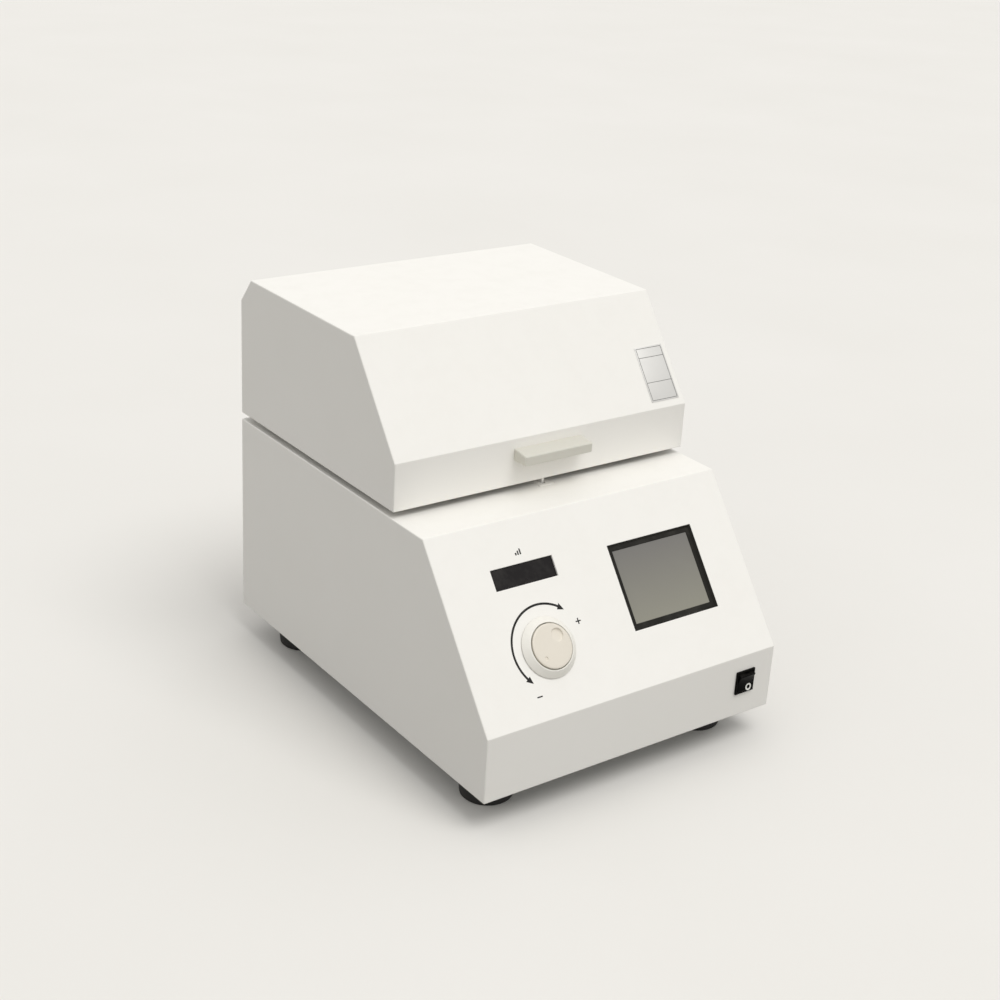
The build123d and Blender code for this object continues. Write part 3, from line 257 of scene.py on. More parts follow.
# %% Group: powder coat
powder_coat, given, result = new_group("powder_coat", ["Height", "Tone", "Gloss"], Peel=750.0, Grain=3200.0)
place = given["Vector"]
peel = noise(powder_coat, place, given["Peel"], 1.0)
grain = noise(powder_coat, place, given["Grain"], 2.0)
fill(powder_coat, result, {
    "Height": maths(powder_coat, "MULTIPLY_ADD", grain, 0.25, peel),
    "Tone": noise(powder_coat, place, 11.0, 3.0),
    "Gloss": noise(powder_coat, place, 45.0, 4.0),
})
print("powder coat nodes", len(powder_coat.nodes))

# %% [markdown]
# ### Edges
#
# No made edge is a knife edge. The Bevel node rounds the shading over a fraction of a millimetre without extra
# faces, which gives each fold and rim its thin highlight. Where the rounded normal differs from the flat one
# there is an edge, so the node also gives a mask. The finishes lighten their colour along it: partly wear,
# where paint is thinner and bare metal is rubbed brighter, and partly a painted highlight. A little noise breaks
# the mask up, because wear is never even.

# %% Group: soft edge
soft_edge, given, result = new_group("soft_edge", ["Mask", "Normal"], Radius=0.0006)
rounded = add(soft_edge, "Bevel", {"Radius": given["Radius"]}, samples=4)[0]
flat = add(soft_edge, "NewGeometry")["Normal"]
aligned = add(soft_edge, "VectorMath", {0: rounded, 1: flat}, operation="DOT_PRODUCT")["Value"]
apart = between(soft_edge, aligned, 0.0, 1.0, start=0.99, end=0.85)
patchy = between(soft_edge, noise(soft_edge, given["Vector"], 260.0, 3.0), 0.35, 1.0, start=0.3, end=0.6)
fill(soft_edge, result, {"Mask": maths(soft_edge, "MULTIPLY", apart, patchy), "Normal": rounded})
print("soft edge nodes", len(soft_edge.nodes))

# %% [markdown]
# ### Dust and handling
#
# Dust settles where a surface faces up, in uneven patches. Fingers leave dull smears where the paint is
# touched. Both are slow noises cut to their upper part, and dust is multiplied by how far the surface faces up.

# %% Group: dust and smears
settled, given, result = new_group("dust_and_smears", ["Dust", "Smear"])
facing = add(settled, "SeparateXYZ", {0: add(settled, "NewGeometry")["Normal"]})["Z"]
patch = noise(settled, given["Vector"], 60.0, 6.0, Roughness=0.7)
patch = between(settled, patch, 0.0, 1.0, start=0.45, end=0.8)
smear = noise(settled, given["Vector"], 30.0, 2.0, Distortion=1.5)
smear = between(settled, smear, 0.0, 1.0, start=0.5, end=0.75)
fill(settled, result, {"Dust": maths(settled, "MULTIPLY", patch, facing, use_clamp=True), "Smear": smear})
print("dust nodes", len(settled.nodes))

# %% [markdown]
# ### Metal grain
#
# Rolled or brushed sheet has long fine scratches in one direction, so its noise is squeezed across the grain and
# stretched along it. A second, even noise clouds the scratches. A Mapping node in the material can turn the
# whole grain, for a part whose scratches run up instead of across.

# %% Group: brushed grain
brushed, given, result = new_group("brushed_grain", ["Height", "Streak"], Scale=60.0)
place, squeeze = given["Vector"], (1.0, 45.0, 45.0)
squeezed = add(brushed, "VectorMath", {0: place, 1: squeeze}, operation="MULTIPLY")[0]
scratch = noise(brushed, squeezed, given["Scale"], 4.0)
both = maths(brushed, "ADD", scratch, noise(brushed, place, 28.0, 4.0))
fill(brushed, result, {"Height": scratch, "Streak": maths(brushed, "MULTIPLY", both, 0.5)})
print("brushed grain nodes", len(brushed.nodes))

# %% [markdown]
# ### Moulded and cast surfaces
#
# A plastic moulding copies the fine texture of its steel mould, which is round-topped cells a few tenths of a
# millimetre wide. A Voronoi texture with smooth cells gives that. With larger cells and a rough noise on top
# the same group serves for rubber, cast metal and foam.

# %% Group: moulded grain
moulded, given, result = new_group("moulded_grain", ["Height", "Tone"], Cells=3000.0)
place, cells = given["Vector"], given["Cells"]
domes = add(moulded, "TexVoronoi", {"Vector": place, "Scale": cells, "Smoothness": 0.8}, feature="SMOOTH_F1")
rough = noise(moulded, place, maths(moulded, "MULTIPLY", cells, 2.3), 3.0)
fill(moulded, result, {
    "Height": maths(moulded, "MULTIPLY_ADD", rough, 0.4, domes["Distance"]),
    "Tone": noise(moulded, place, 70.0, 4.0),
})
print("moulded grain nodes", len(moulded.nodes))

# %% [markdown]
# ## Finishes
#
# Each material slot of the model gets one finish. Finishes of one family differ only in colour, gloss and the
# size of their grain, so a family is a function and the slots are calls of it. A number that is the same all
# over sits on the shader's own socket, and what changes over the surface comes from the groups.

# %% What finishes share
def lighter(body, factor, lift=0.0):
    """The lighter colour of an edge, partly rubbed wear and partly a painted highlight."""
    return (*(min(1.0, value * factor + lift) for value in body[:3]), 1.0)


def finish_surface(name, tree, place, tone, gloss, height, depth, edge=None, dust=None, smear=0.0, plain=None):
    """Feeds a shader. Edge is (radius, colour, amount), its colour part wear and part painted highlight; dust is
    (colour, amount), and depth is the relief's.
    """
    relief = {"Height": height, "Distance": depth, "Strength": 1.0}
    if edge:
        radius, edge_wear_and_highlight, amount = edge
        rounded = put(tree, soft_edge, Vector=place, Radius=radius)
        # Lighter along the edges: partly wear, partly a painted highlight.
        tone = blend(tree, between(tree, rounded["Mask"], 0.0, amount), tone, edge_wear_and_highlight)
        relief["Normal"] = rounded["Normal"]
    if smear:
        dirt = put(tree, settled, Vector=place)
        gloss = maths(tree, "MULTIPLY_ADD", dirt["Smear"], smear, gloss)
        if dust:
            tone = blend(tree, between(tree, dirt["Dust"], 0.0, dust[1]), tone, dust[0])
    bump = add(tree, "Bump", relief)[0]
    surface = {"Base Color": tone, "Roughness": gloss, "Normal": bump, **(plain or {})}
    fill(tree, tree.nodes["Principled BSDF"], surface)
    print("finish", name)


# %% [markdown]
# ### White powder paint
#
# The casing and the lid are a warm white with a satin gloss. The real paint is clean and nearly new, so its
# tone hardly drifts, and the dust is a trace. A pure white would clip in the light and lose the folds, so the
# paint is a step below white.

# %% Finish: painted sheet
def paint(name, body, shade, roughness):
    """Powder paint over sheet steel."""
    tree, place = new_finish(name)
    skin = put(tree, powder_coat, Vector=place)
    finish_surface(
        name, tree, place, blend(tree, skin["Tone"], colour(*body), colour(*shade)),
        between(tree, skin["Gloss"], roughness - 0.05, roughness + 0.05), skin["Height"], 0.00001,
        # The near-white along the edges is mostly a painted highlight on the folds, and a little thinner paint.
        edge=(0.0005, colour(252, 251, 247), 0.30), dust=(colour(206, 202, 192), 0.10), smear=0.06,
        plain={"Specular IOR Level": 0.45},
    )


paint("white_paint", (247, 245, 240), (244, 242, 236), 0.42)

# %% [markdown]
# ### Metals
#
# A metal's colour is in its reflection, so Metallic is 1, and the grain drives the roughness and a very shallow
# relief. The containers' grain is turned to run up their walls. Bare metal is brighter where edges rub, and
# slightly duller where it has clouded. The brighter edges are also a painted highlight.

# %% Finish: metal
def metal(name, body, dull, roughness, scale=60.0, tilt=(0, 0, 0), metallic=1.0):
    """Bare or plated metal with a straight grain."""
    tree, place = new_finish(name)
    body, dull = colour(*body), colour(*dull)
    turned = add(tree, "Mapping", {0: place, 2: tilt}, vector_type="TEXTURE")[0]
    marks = put(tree, brushed, Vector=turned, Scale=scale)
    finish_surface(
        name, tree, place, blend(tree, between(tree, marks["Streak"], 0.0, 0.9), dull, body),
        between(tree, marks["Streak"], roughness + 0.12, roughness - 0.10), marks["Height"], 0.000004,
        edge=(0.0003, lighter(body, 1.15), 0.6), smear=0.07, plain={"Metallic": metallic},
    )


stand_up = (0, math.radians(90), 0)
metal("steel_sheet", (205, 204, 200), (170, 169, 165), 0.30)
metal("zinc_plate", (186, 188, 186), (140, 143, 142), 0.38, scale=25.0)
metal("machined_steel", (188, 187, 184), (150, 149, 146), 0.26, scale=90.0)
metal("bearing_steel", (205, 205, 203), (172, 172, 170), 0.16)
metal("container_steel", (208, 207, 203), (176, 174, 170), 0.20, scale=30.0, tilt=stand_up)
metal("screw_steel", (200, 199, 194), (160, 159, 155), 0.24)
metal("shaft_steel", (196, 195, 192), (158, 157, 154), 0.22)
metal("ball_steel", (214, 213, 210), (190, 189, 186), 0.10)
metal("coil_steel", (150, 151, 150), (112, 113, 112), 0.42)
metal("magnet_nickel", (200, 197, 188), (176, 172, 162), 0.14)
metal("rack_aluminium", (196, 197, 198), (166, 167, 169), 0.30, scale=80.0)
metal("housing_aluminium", (192, 193, 194), (160, 161, 163), 0.32)
metal("brass_weight", (206, 172, 98), (170, 132, 66), 0.28)
metal("supply_case", (170, 172, 172), (138, 140, 140), 0.40, scale=25.0)

# %% [markdown]
# ### The handle's aluminium
#
# The handle is a drawn bar, brushed along its length and clear anodised. Anodising leaves a thin glassy skin
# that scatters light, so the bar looks paler and softer than bare metal, and it is hardly metallic here.

# %% Finish: anodised handle
tree, place = new_finish("handle_aluminium")
marks = put(tree, brushed, Vector=place, Scale=110.0)
tone = blend(tree, between(tree, marks["Streak"], 0.0, 0.9), colour(206, 204, 193), colour(221, 219, 209))
finish_surface(
    "handle_aluminium", tree, place, tone, between(tree, marks["Streak"], 0.42, 0.28), marks["Height"], 0.000005,
    # The near-white along the handle's edges is a painted highlight on the chamfers, with some rubbed wear.
    edge=(0.0003, colour(250, 249, 242), 0.9), plain={"Metallic": 0.1},
)

# %% [markdown]
# ### Plastics, rubber and castings
#
# These are solid colours with a moulded or cast grain. Knob and cap are a warm off-white, the switch and the
# screen's frame a warm black, and feet, seals and dampers a dull dark grey. Coarse cells with more relief make
# the motor's casting. The rocker is the same family, polished: almost no grain, and a low roughness.

# %% Finish: moulded and cast
def moulding(name, body, shade, roughness, cells=3000.0, depth=0.000012, metallic=0.0, shine=0.5):
    """A moulded plastic, a rubber or a casting."""
    tree, place = new_finish(name)
    body, shade = colour(*body), colour(*shade)
    grain = put(tree, moulded, Vector=place, Cells=cells)
    finish_surface(
        name, tree, place, blend(tree, between(tree, grain["Tone"], 0.1, 0.9), body, shade),
        between(tree, grain["Tone"], roughness - 0.05, roughness + 0.05), grain["Height"], depth,
        edge=(0.0004, lighter(body, 1.25, 0.01), 0.5), dust=(colour(190, 186, 176), 0.08), smear=0.08,
        plain={"Metallic": metallic, "Specular IOR Level": shine},
    )


moulding("knob_plastic", (244, 242, 234), (239, 236, 228), 0.45, depth=0.000008)
moulding("cap_plastic", (233, 226, 213), (227, 220, 206), 0.40, depth=0.000006)
moulding("black_plastic", (13, 13, 11), (10, 10, 9), 0.45, shine=0.04)
moulding("rocker_plastic", (9, 9, 8), (7, 7, 6), 0.33, cells=5000.0, depth=0.000001, shine=0.03)
moulding("frame_plastic", (27, 25, 20), (21, 20, 16), 0.40, shine=0.2)
moulding("window_plastic", (22, 19, 20), (19, 16, 18), 0.28, depth=0.000003, shine=0.22)
moulding("clamp_plastic", (30, 30, 31), (24, 24, 25), 0.50, cells=1600.0, depth=0.00003)
moulding("foot_rubber", (38, 37, 36), (30, 29, 28), 0.72, cells=1400.0, depth=0.00003)
# The seals' dark grey is chosen so that the gap under the lid looks dark: partly the rubber's colour, partly painted
# shade.
moulding("seal_rubber", (58, 57, 55), (48, 47, 45), 0.60, cells=1800.0, depth=0.00002)
moulding("damper_rubber", (34, 33, 33), (27, 26, 26), 0.70, cells=1400.0, depth=0.00003)
moulding("foam", (222, 212, 182), (204, 190, 154), 0.90, cells=900.0, depth=0.00015)
moulding("motor_casting", (120, 121, 122), (98, 99, 101), 0.50, cells=900.0, depth=0.00006, metallic=0.7)

# %% [markdown]
# ### Circuit boards
#
# A board is green lacquer over copper tracks. A Brick texture laid in the board's plane gives straight tracks
# and rows of pads, slightly raised and lighter than the lacquer.

# %% Finish: circuit board
tree, place = new_finish("circuit_board")
black, white = (0, 0, 0, 1), (1, 1, 1, 1)
bricks = {"Scale": 140.0, "Mortar Size": 0.03, "Color1": black, "Color2": black, "Mortar": white}
tracks = add(tree, "TexBrick", {"Vector": place, **bricks})["Color"]
drift = put(tree, moulded, Vector=place, Cells=2400.0)["Tone"]
lacquer = blend(tree, drift, colour(28, 82, 52), colour(22, 66, 44))
tone = blend(tree, tracks, lacquer, colour(74, 128, 78))
finish_surface("circuit_board", tree, place, tone, between(tree, drift, 0.25, 0.40), tracks, 0.00003)

# %% [markdown]
# ### The touch screen
#
# A liquid-crystal screen that is switched off is a flat neutral grey behind a smooth plastic film. Here it is
# drawn a little lighter and warmer towards its lower edge, which is a painted reflection: a slow ramp up the
# panel. The film is a coat, and a faint fine grid stands for the pixels. It never shows text.

# %% Finish: screen
panel_up = Vector((0, 0.6096, 0.7927))
bottom, top = (corner.dot(panel_up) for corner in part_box("touch_glass"))
tree, place = new_finish("screen_glass")
along = add(tree, "VectorMath", {0: place, 1: panel_up}, operation="DOT_PRODUCT")["Value"]
# A painted reflection: lighter and warmer at the screen's lower edge, darker at its top.
tone = blend(tree, between(tree, along, 0.0, 1.0, bottom, top), colour(142, 140, 127), colour(113, 111, 108))
grid = add(tree, "TexVoronoi", {"Vector": place, "Scale": 4200.0}, distance="CHEBYCHEV")["Distance"]
tone = blend(tree, between(tree, grid, 0.0, 0.06), tone, colour(120, 118, 110))
gloss = between(tree, put(tree, settled, Vector=place)["Smear"], 0.30, 0.40)
film = {"Coat Roughness": 0.12, "Coat Weight": 0.35}
finish_surface("screen_glass", tree, place, tone, gloss, grid, 0.0000015, plain=film)
print("the screen's ramp runs from", round(bottom, 4), "to", round(top, 4))

# %% [markdown]
# ## Dress the frame
#
# The record of the model says which slot each node takes. Assigning to the material slots of a node changes its
# looks and leaves its mesh alone. The striker of the lid's lock is painted with the lid it is welded to.

# %% Assign finishes to every node
record = frame["record"]
slot_of = {part["node"]: part["material_slot"] for part in record["subparts"]}
body_of = {node: body for body, nodes in record["behaviour"]["bodies"].items() for node in nodes}
for node, solid in frame["nodes"].items():
    finish = finishes["white_paint" if node == "lid_striker" else slot_of[node]]
    for material_slot in solid.material_slots:
        material_slot.material = finish
print("dressed nodes", len(frame["nodes"]))

# %% [markdown]
# ## Tools for new pieces
#
# Most new pieces are drawn in a small frame of their own, flat on a panel or round a shaft, and then set in
# place by a matrix. The frame model gives those places: a joint has a point and an axis, and a node has a box,
# which can be measured along any axes. So no size is guessed twice.

# %% Placing and measuring
mm = 0.001
joints = {joint["name"]: joint for joint in frame["joints"]}


def stand(origin, out, across=(1, 0, 0)):
    """The matrix of a place: Z points out, X runs across, and Y completes them."""
    z = Vector(out).normalized()
    x = Vector(across)
    x = (x - z * x.dot(z)).normalized()
    matrix = Matrix((x, z.cross(x), z)).transposed().to_4x4()
    matrix.translation = origin
    return matrix


def joint_place(name):
    """The place of a joint, with Z along its axis."""
    return stand(joints[name]["pos_m"], joints[name]["axis"])


def shift(x, y, z):
    """The matrix of a shift in millimetres."""
    return Matrix.Translation((x * mm, y * mm, z * mm))


def corners_of(points):
    """The low and high corner of the box round some points."""
    columns = list(zip(*points))
    return Vector(map(min, columns)), Vector(map(max, columns))


def extent(node, place):
    """The low and high corner of a node, measured along the axes of a place."""
    back = place.inverted()
    return corners_of([back @ vertex.co for vertex in frame["nodes"][node].data.vertices])


def middle_of(low, high, level):
    """The matrix of a shift to the middle between two corners, at a level."""
    return Matrix.Translation(((low.x + high.x) / 2, (low.y + high.y) / 2, level))


panel = joint_place("speed_knob_turn")
print("panel stands at", short(panel.translation))

# %% [markdown]
# A new piece ends in one call: the bmesh is moved to its place, its faces are turned outwards, curved faces are
# smoothed while sharp edges stay sharp, and the piece is tied to the moving body it belongs to. A piece that
# stands for a node takes over the node's slot and body.

# %% Finishing a piece
def new_piece(name, shape, slot, body, replaces=None, place=None, sharp=30, finish=None):
    """Turns a bmesh into a finished piece that rides on a body."""
    if place:
        bmesh.ops.transform(shape, matrix=place, verts=shape.verts)
    bmesh.ops.recalc_face_normals(shape, faces=shape.faces)
    mesh = freeze(shape, name)
    mesh.shade_smooth()
    mesh.set_sharp_from_angle(angle=math.radians(sharp))
    mesh.materials.append(finishes[finish or slot])
    piece = in_scene(name, mesh)
    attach(piece, body)
    if replaces:
        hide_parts(replaces)
    print(name, "faces", len(mesh.polygons))


def remodel(node, name, shape, place=None, sharp=30):
    """A finer piece in place of a node."""
    new_piece(name, shape, slot_of[node], body_of[node], node, place, sharp)


# %% [markdown]
# A few ways of making a shape come up again and again. A turned part is half of its section spun round an axis,
# as on a lathe. A part with a pocket is carved: a Boolean modifier takes the tool's shape away, and the result
# is read back at once, so nothing stays live. A block and a rod are the tools for that.

# %% Turning and pushing out
def spin(shape, geom, steps, angle=math.tau):
    """Spins points and edges round the Z axis; a full turn closes on itself."""
    bmesh.ops.spin(
        shape, geom=geom, axis=(0, 0, 1), cent=(0, 0, 0), angle=angle, steps=steps, use_merge=angle == math.tau
    )


def lathe(section, steps):
    """Turns a section of (radius, height) in millimetres; one that starts on the axis is left open there."""
    shape = bmesh.new()
    corners = [shape.verts.new((radius * mm, 0, level * mm)) for radius, level in section]
    on_axis = section[0][0] == 0
    pairs = zip(corners, corners[1:] if on_axis else corners[1:] + corners[:1])
    spin(shape, corners + [shape.edges.new(pair) for pair in pairs], steps)
    bmesh.ops.remove_doubles(shape, verts=shape.verts, dist=1e-7)
    bmesh.ops.recalc_face_normals(shape, faces=shape.faces)
    return shape


def push_out(shape, faces, way):
    """Gives flat faces a thickness, by extruding them along a vector."""
    made = bmesh.ops.extrude_face_region(shape, geom=faces)["geom"]
    bmesh.ops.translate(shape, vec=way, verts=[item for item in made if isinstance(item, bmesh.types.BMVert)])


# %% Carving
def carve(shape, tool, operation="DIFFERENCE"):
    """Takes the tool's shape out of another, or welds it on, and returns the result."""
    pair = []
    for source in (shape, tool):
        bmesh.ops.recalc_face_normals(source, faces=source.faces)
        pair.append(in_scene("carving", freeze(source, "carving")))
    cutter = pair[0].modifiers.new("cut", "BOOLEAN")
    cutter.operation, cutter.solver, cutter.object = operation, "EXACT", pair[1]
    evaluated = pair[0].evaluated_get(bpy.context.evaluated_depsgraph_get())
    left = bmesh.new()
    left.from_mesh(evaluated.to_mesh())
    evaluated.to_mesh_clear()
    for mesh in [leftover.data for leftover in pair]:
        bpy.data.meshes.remove(mesh)
    return left


# %% Blocks, rods and copies
def soften(shape, offset, segments=2, edges=None):
    """Takes the edges off a shape."""
    bmesh.ops.bevel(
        shape, geom=edges or shape.edges[:], offset=offset, affect="EDGES", segments=segments, profile=0.5,
        material=-1, clamp_overlap=True,
    )


def block(low, high, rounding=0.0):
    """A block between two corners, with its edges taken off."""
    low, high = Vector(low), Vector(high)
    shape = bmesh.new()
    bmesh.ops.create_cube(shape, size=1.0)
    bmesh.ops.scale(shape, vec=high - low, verts=shape.verts)
    bmesh.ops.translate(shape, vec=(low + high) / 2, verts=shape.verts)
    if rounding:
        soften(shape, rounding)
    return shape


def rod(radius, length, place, steps=24, end_radius=None):
    """A round rod along the Z axis of a place, or a cone where its ends differ."""
    shape = bmesh.new()
    bmesh.ops.create_cone(
        shape, cap_ends=True, segments=steps, radius1=radius, radius2=end_radius or radius, depth=length, matrix=place
    )
    return shape


def add_copies(shape, one, spots):
    """Adds a copy of one bmesh to a shape at each of some places, and frees the one."""
    mesh = freeze(one, "one_copy")
    for spot in spots:
        count = len(shape.verts)
        shape.from_mesh(mesh)
        shape.verts.ensure_lookup_table()
        bmesh.ops.transform(shape, matrix=spot, verts=shape.verts[count:])
    bpy.data.meshes.remove(mesh)
    return shape


print("a unit block has", len(block((0, 0, 0), (1, 1, 1), 0.1).faces), "faces")

# %% [markdown]
# ## The handle
#
# A solid aluminium bar on the lid's front band lifts it. Its top slopes down to the front, and its edges are
# broken with a small chamfer that catches the light as a thin bright line. A cube scaled to the node's box has
# its upper front edge lowered, and its edges beveled. One flat segment keeps the chamfer crisp.

# %% Handle bar
low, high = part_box("lid_handle")
slope_drop, chamfer, near = 1.8 * mm, 0.6 * mm, 1 * mm
handle = block(low, high)
for corner in handle.verts:
    if corner.co.z > high.z - near and corner.co.y < low.y + near:
        corner.co.z -= slope_drop
soften(handle, chamfer, 1)
remodel("lid_handle", "handle_bar", handle)

# %% [markdown]
# ## The speed knob
#
# The knob is two mouldings: a conical skirt, and a cap in a slightly warmer white that sits in it with a thin
# dark gap all round. Both are turned. The rim of each is rounded by a few points in its section, because a
# round rim is what shows that a plastic part was moulded.

# %% Knob skirt
skirt = lathe([
    (3.05, 3.2), (15.0, 3.2), (15.0, 1.5), (16.55, 1.5), (16.55, 4.45), (16.6, 4.68), (16.8, 4.78), (17.05, 4.8),
    (17.35, 4.68), (17.6, 4.4), (21.5, 1.1), (21.65, 0.85), (21.6, 0.6), (7.6, 0.6), (7.6, 2.6), (3.05, 2.6),
], 128)
remodel("knob_skirt", "knob_skirt_turned", skirt, panel)

# %% [markdown]
# The cap stands a little above the skirt's rim, over a deep groove that stays dark. It has a small pit from its
# mould, and a scoop for one fingertip: deepest near the rim, where its wall is steep, and running out flat
# towards the middle. A turned disc with a rounded edge, leaned outwards, carves that. A sphere would give a
# round dimple with no steep side.

# %% Knob cap
cap_top = 5.8
cap = lathe([
    (0, 3.2), (14.8, 3.2), (14.8, 4.0), (15.75, 4.2), (15.8, 5.1), (15.72, 5.4), (15.5, 5.62), (15.15, 5.73),
    (14.7, 5.78), (14.2, cap_top), (0, cap_top),
], 128)
scoop_turn, scoop_reach, scoop_depth, scoop_lean = 46, 8.4, 0.85, 10
scoop = lathe([(0, 0), (3.9, 0), (4.5, 0.2), (4.85, 0.6), (5.0, 1.2), (5.0, 6.0), (0, 6.0)], 96)
scoop_place = turn(scoop_turn) @ shift(scoop_reach, 0, cap_top - scoop_depth) @ turn(scoop_lean, "Y")
bmesh.ops.transform(scoop, matrix=scoop_place, verts=scoop.verts)
pit = rod(1.2 * mm, 1.2 * mm, shift(-8.1, -7.2, cap_top), 32, 1.75 * mm)
remodel("knob_cap", "knob_cap_turned", carve(carve(cap, scoop), pit), panel, sharp=12)

# %% [markdown]
# ## The frame of the touch screen
#
# The screen sits 2 mm behind the panel in a dark frame. A steep wall goes down from the panel, then a flat
# border leads to a small step round the glass, so each side of the frame takes the light differently. The frame
# is one loop of four edges, extruded from ring to ring like a picture-frame moulding, which mitres the corners
# by itself. Four separate bars would need their ends cut.

# %% A frame moulding
def moulding_frame(rings):
    """A closed rectangular moulding; each ring is (half sizes in metres, growth and level in millimetres)."""
    shape = bmesh.new()
    bmesh.ops.create_grid(shape, x_segments=1, y_segments=1, size=1.0)
    bmesh.ops.delete(shape, geom=shape.faces[:], context="FACES_ONLY")
    first = loop = shape.edges[:]
    for number, (half_sizes, growth, level) in enumerate(rings):
        if number:
            made = bmesh.ops.extrude_edge_only(shape, edges=loop)["geom"]
            fresh = {item for item in made if isinstance(item, bmesh.types.BMVert)}
            loop = [item for item in made if isinstance(item, bmesh.types.BMEdge) and set(item.verts) <= fresh]
        for corner in {vert for edge in loop for vert in edge.verts}:
            x, y = (math.copysign(half + growth * mm, side) for half, side in zip(half_sizes, corner.co.xy))
            corner.co = (x, y, level * mm)
    bmesh.ops.bridge_loops(shape, edges=first + loop)
    return shape


low, high = extent("touch_frame", panel)
flange, rim, back = 4.0, 0.35, low.z / mm
sheet_back, border, glass = -1.5, -1.7, -2.1
view = (69.5 * mm / 2, 54.0 * mm / 2)
outer = ((high.x - low.x) / 2 - flange * mm, (high.y - low.y) / 2 - flange * mm)
bezel = moulding_frame([
    (view, 0, back), (view, 0, glass), (view, rim, border), (outer, -1.6, border), (outer, -rim, -0.15),
    (outer, -0.15, 0), (outer, 0, -0.1), (outer, 0, sheet_back), (outer, flange, sheet_back), (outer, flange, back),
])
remodel("touch_frame", "touch_bezel", bezel, panel @ middle_of(low, high, 0), sharp=15)

# %% [markdown]
# ## The display window
#
# The speed display sits behind a dark red-black filter. The filter lies a millimetre back in a narrow rim, whose
# inner wall draws a darker line. A block with a shallow pocket carved in its front gives rim and filter in one
# piece, like the real snap-in window.

# %% Display window
low, high = extent("display_window", panel)
rim, depth = 1.0 * mm, 0.9 * mm
pane = block((low.x + rim, low.y + rim, high.z - depth), (high.x - rim, high.y - rim, mm))
remodel("display_window", "display_pane", carve(block(low, high, 0.12 * mm), pane), panel)

# %% [markdown]
# ## The power switch
#
# The rocker is a narrow V in side view: two nearly flat halves that dip slightly in the middle, on a pin. Its
# upper end stands out, so its lower half lies back. The section is a few points with a curve between them from
# one formula. It is extruded across, and its long edges are rounded.

# %% Rocker
lean = math.radians(9)
pivot = Vector(joints["rocker_tilt"]["pos_m"])
rocker_place = stand(pivot, (0, -math.cos(lean), -math.sin(lean)))
low, high = extent("power_rocker", rocker_place)
half_width, crest, tip, end = 7.15 * mm, 3.3 * mm, high.z, high.y
curve_end = end - 0.9 * mm


def dip(y):
    """The level of the rocker's shallow dip."""
    return crest + (tip - crest) * (y / curve_end) ** 2


edge_points = [(end - 0.25 * mm, tip - 0.15 * mm), (end, tip - 0.6 * mm), (end, low.z)]
curve = [curve_end * (1 - step / 8) for step in range(17)]
section = edge_points[::-1] + [(y, dip(y)) for y in curve] + [(-y, z) for y, z in edge_points]
rocker = bmesh.new()
side = rocker.faces.new([rocker.verts.new((-half_width, y, z)) for y, z in section])
push_out(rocker, [side], (2 * half_width, 0, 0))
long_edges = [edge for edge in rocker.edges if abs(edge.verts[0].co.x - edge.verts[1].co.x) < 1e-6]
soften(rocker, 0.35 * mm, 3, long_edges)
pin_radius, sideways = 1.2 * mm, turn(90, "Y")
rocker = carve(rocker, rod(pin_radius, 2 * high.x, sideways), "UNION")
remodel("power_rocker", "rocker_cap", rocker, rocker_place, sharp=25)

# %% [markdown]
# ## The switch housing
#
# The housing is a snap-in box with a flat bezel that stands 1.5 mm proud of the casing. Its outer edges are
# rounded and its window is sharp: a rounded block with a pocket carved out of its front gives both. A bore
# through the pocket's side walls holds the rocker's pin.

# %% Switch housing
proud, bore_length = 1.5, 16.2
switch_place = stand(pivot - Vector((0, proud * mm, 0)), (0, -1, 0))
low, high = extent("switch_housing", switch_place)
box = block((-8.2 * mm, -8.6 * mm, low.z), (8.2 * mm, 8.6 * mm, 0.3 * mm), 0.2 * mm)
pocket = block((-7.45 * mm, -8.2 * mm, -7.0 * mm), (7.45 * mm, 8.2 * mm, 4 * mm))
bore = rod(pin_radius + 0.1 * mm, bore_length * mm, shift(0, 0, -proud) @ sideways)
housing = carve(block((low.x, low.y, 0), high, 0.25 * mm), box, "UNION")
housing = carve(carve(housing, pocket), bore)
remodel("switch_housing", "switch_bezel", housing, switch_place)

# %% [markdown]
# ## Printed marks
#
# The panel carries a long curved arrow round the left and upper side of the knob, and a plus, a minus and three
# rising bars for faster, slower and the speed display. Screen printing is a film of ink a few hundredths of a
# millimetre thick, so each mark is a flat shape with that thickness. Painting them in the material would need a
# mask for each, and a real edge stays crisp at any distance.

# %% Finish: printing ink
moulding("black_ink", (24, 23, 21), (20, 19, 18), 0.55, cells=2500.0, depth=0.000002, shine=0.3)
ink_level, ink_film = 0.02, 0.05


def printed(name, shape, place, slot="black_plastic", body="base", ink="black_ink"):
    """A flat shape, given a film's thickness and laid on a surface."""
    push_out(shape, shape.faces[:], (0, 0, ink_film * mm))
    new_piece(name, shape, slot, body, place=place @ shift(0, 0, ink_level), finish=ink)


# %% [markdown]
# The arrow's line is one short edge across the line, spun round the knob's axis. Each head is a triangle, whose
# base stands on the line's end and whose tip points along the arc.

# %% Arrow round the knob
def on_arc(radius, degrees):
    """A point at a radius and an angle."""
    return turn(degrees) @ Vector((radius, 0, 0))


def curved_line(radius, half_line, first, last, steps):
    """A flat line round the Z axis, from a first to a last angle in degrees."""
    shape = bmesh.new()
    ends = [shape.verts.new(on_arc(radius + side, first)) for side in (-half_line, half_line)]
    spin(shape, ends + [shape.edges.new(ends)], steps, math.radians(last - first))
    return shape


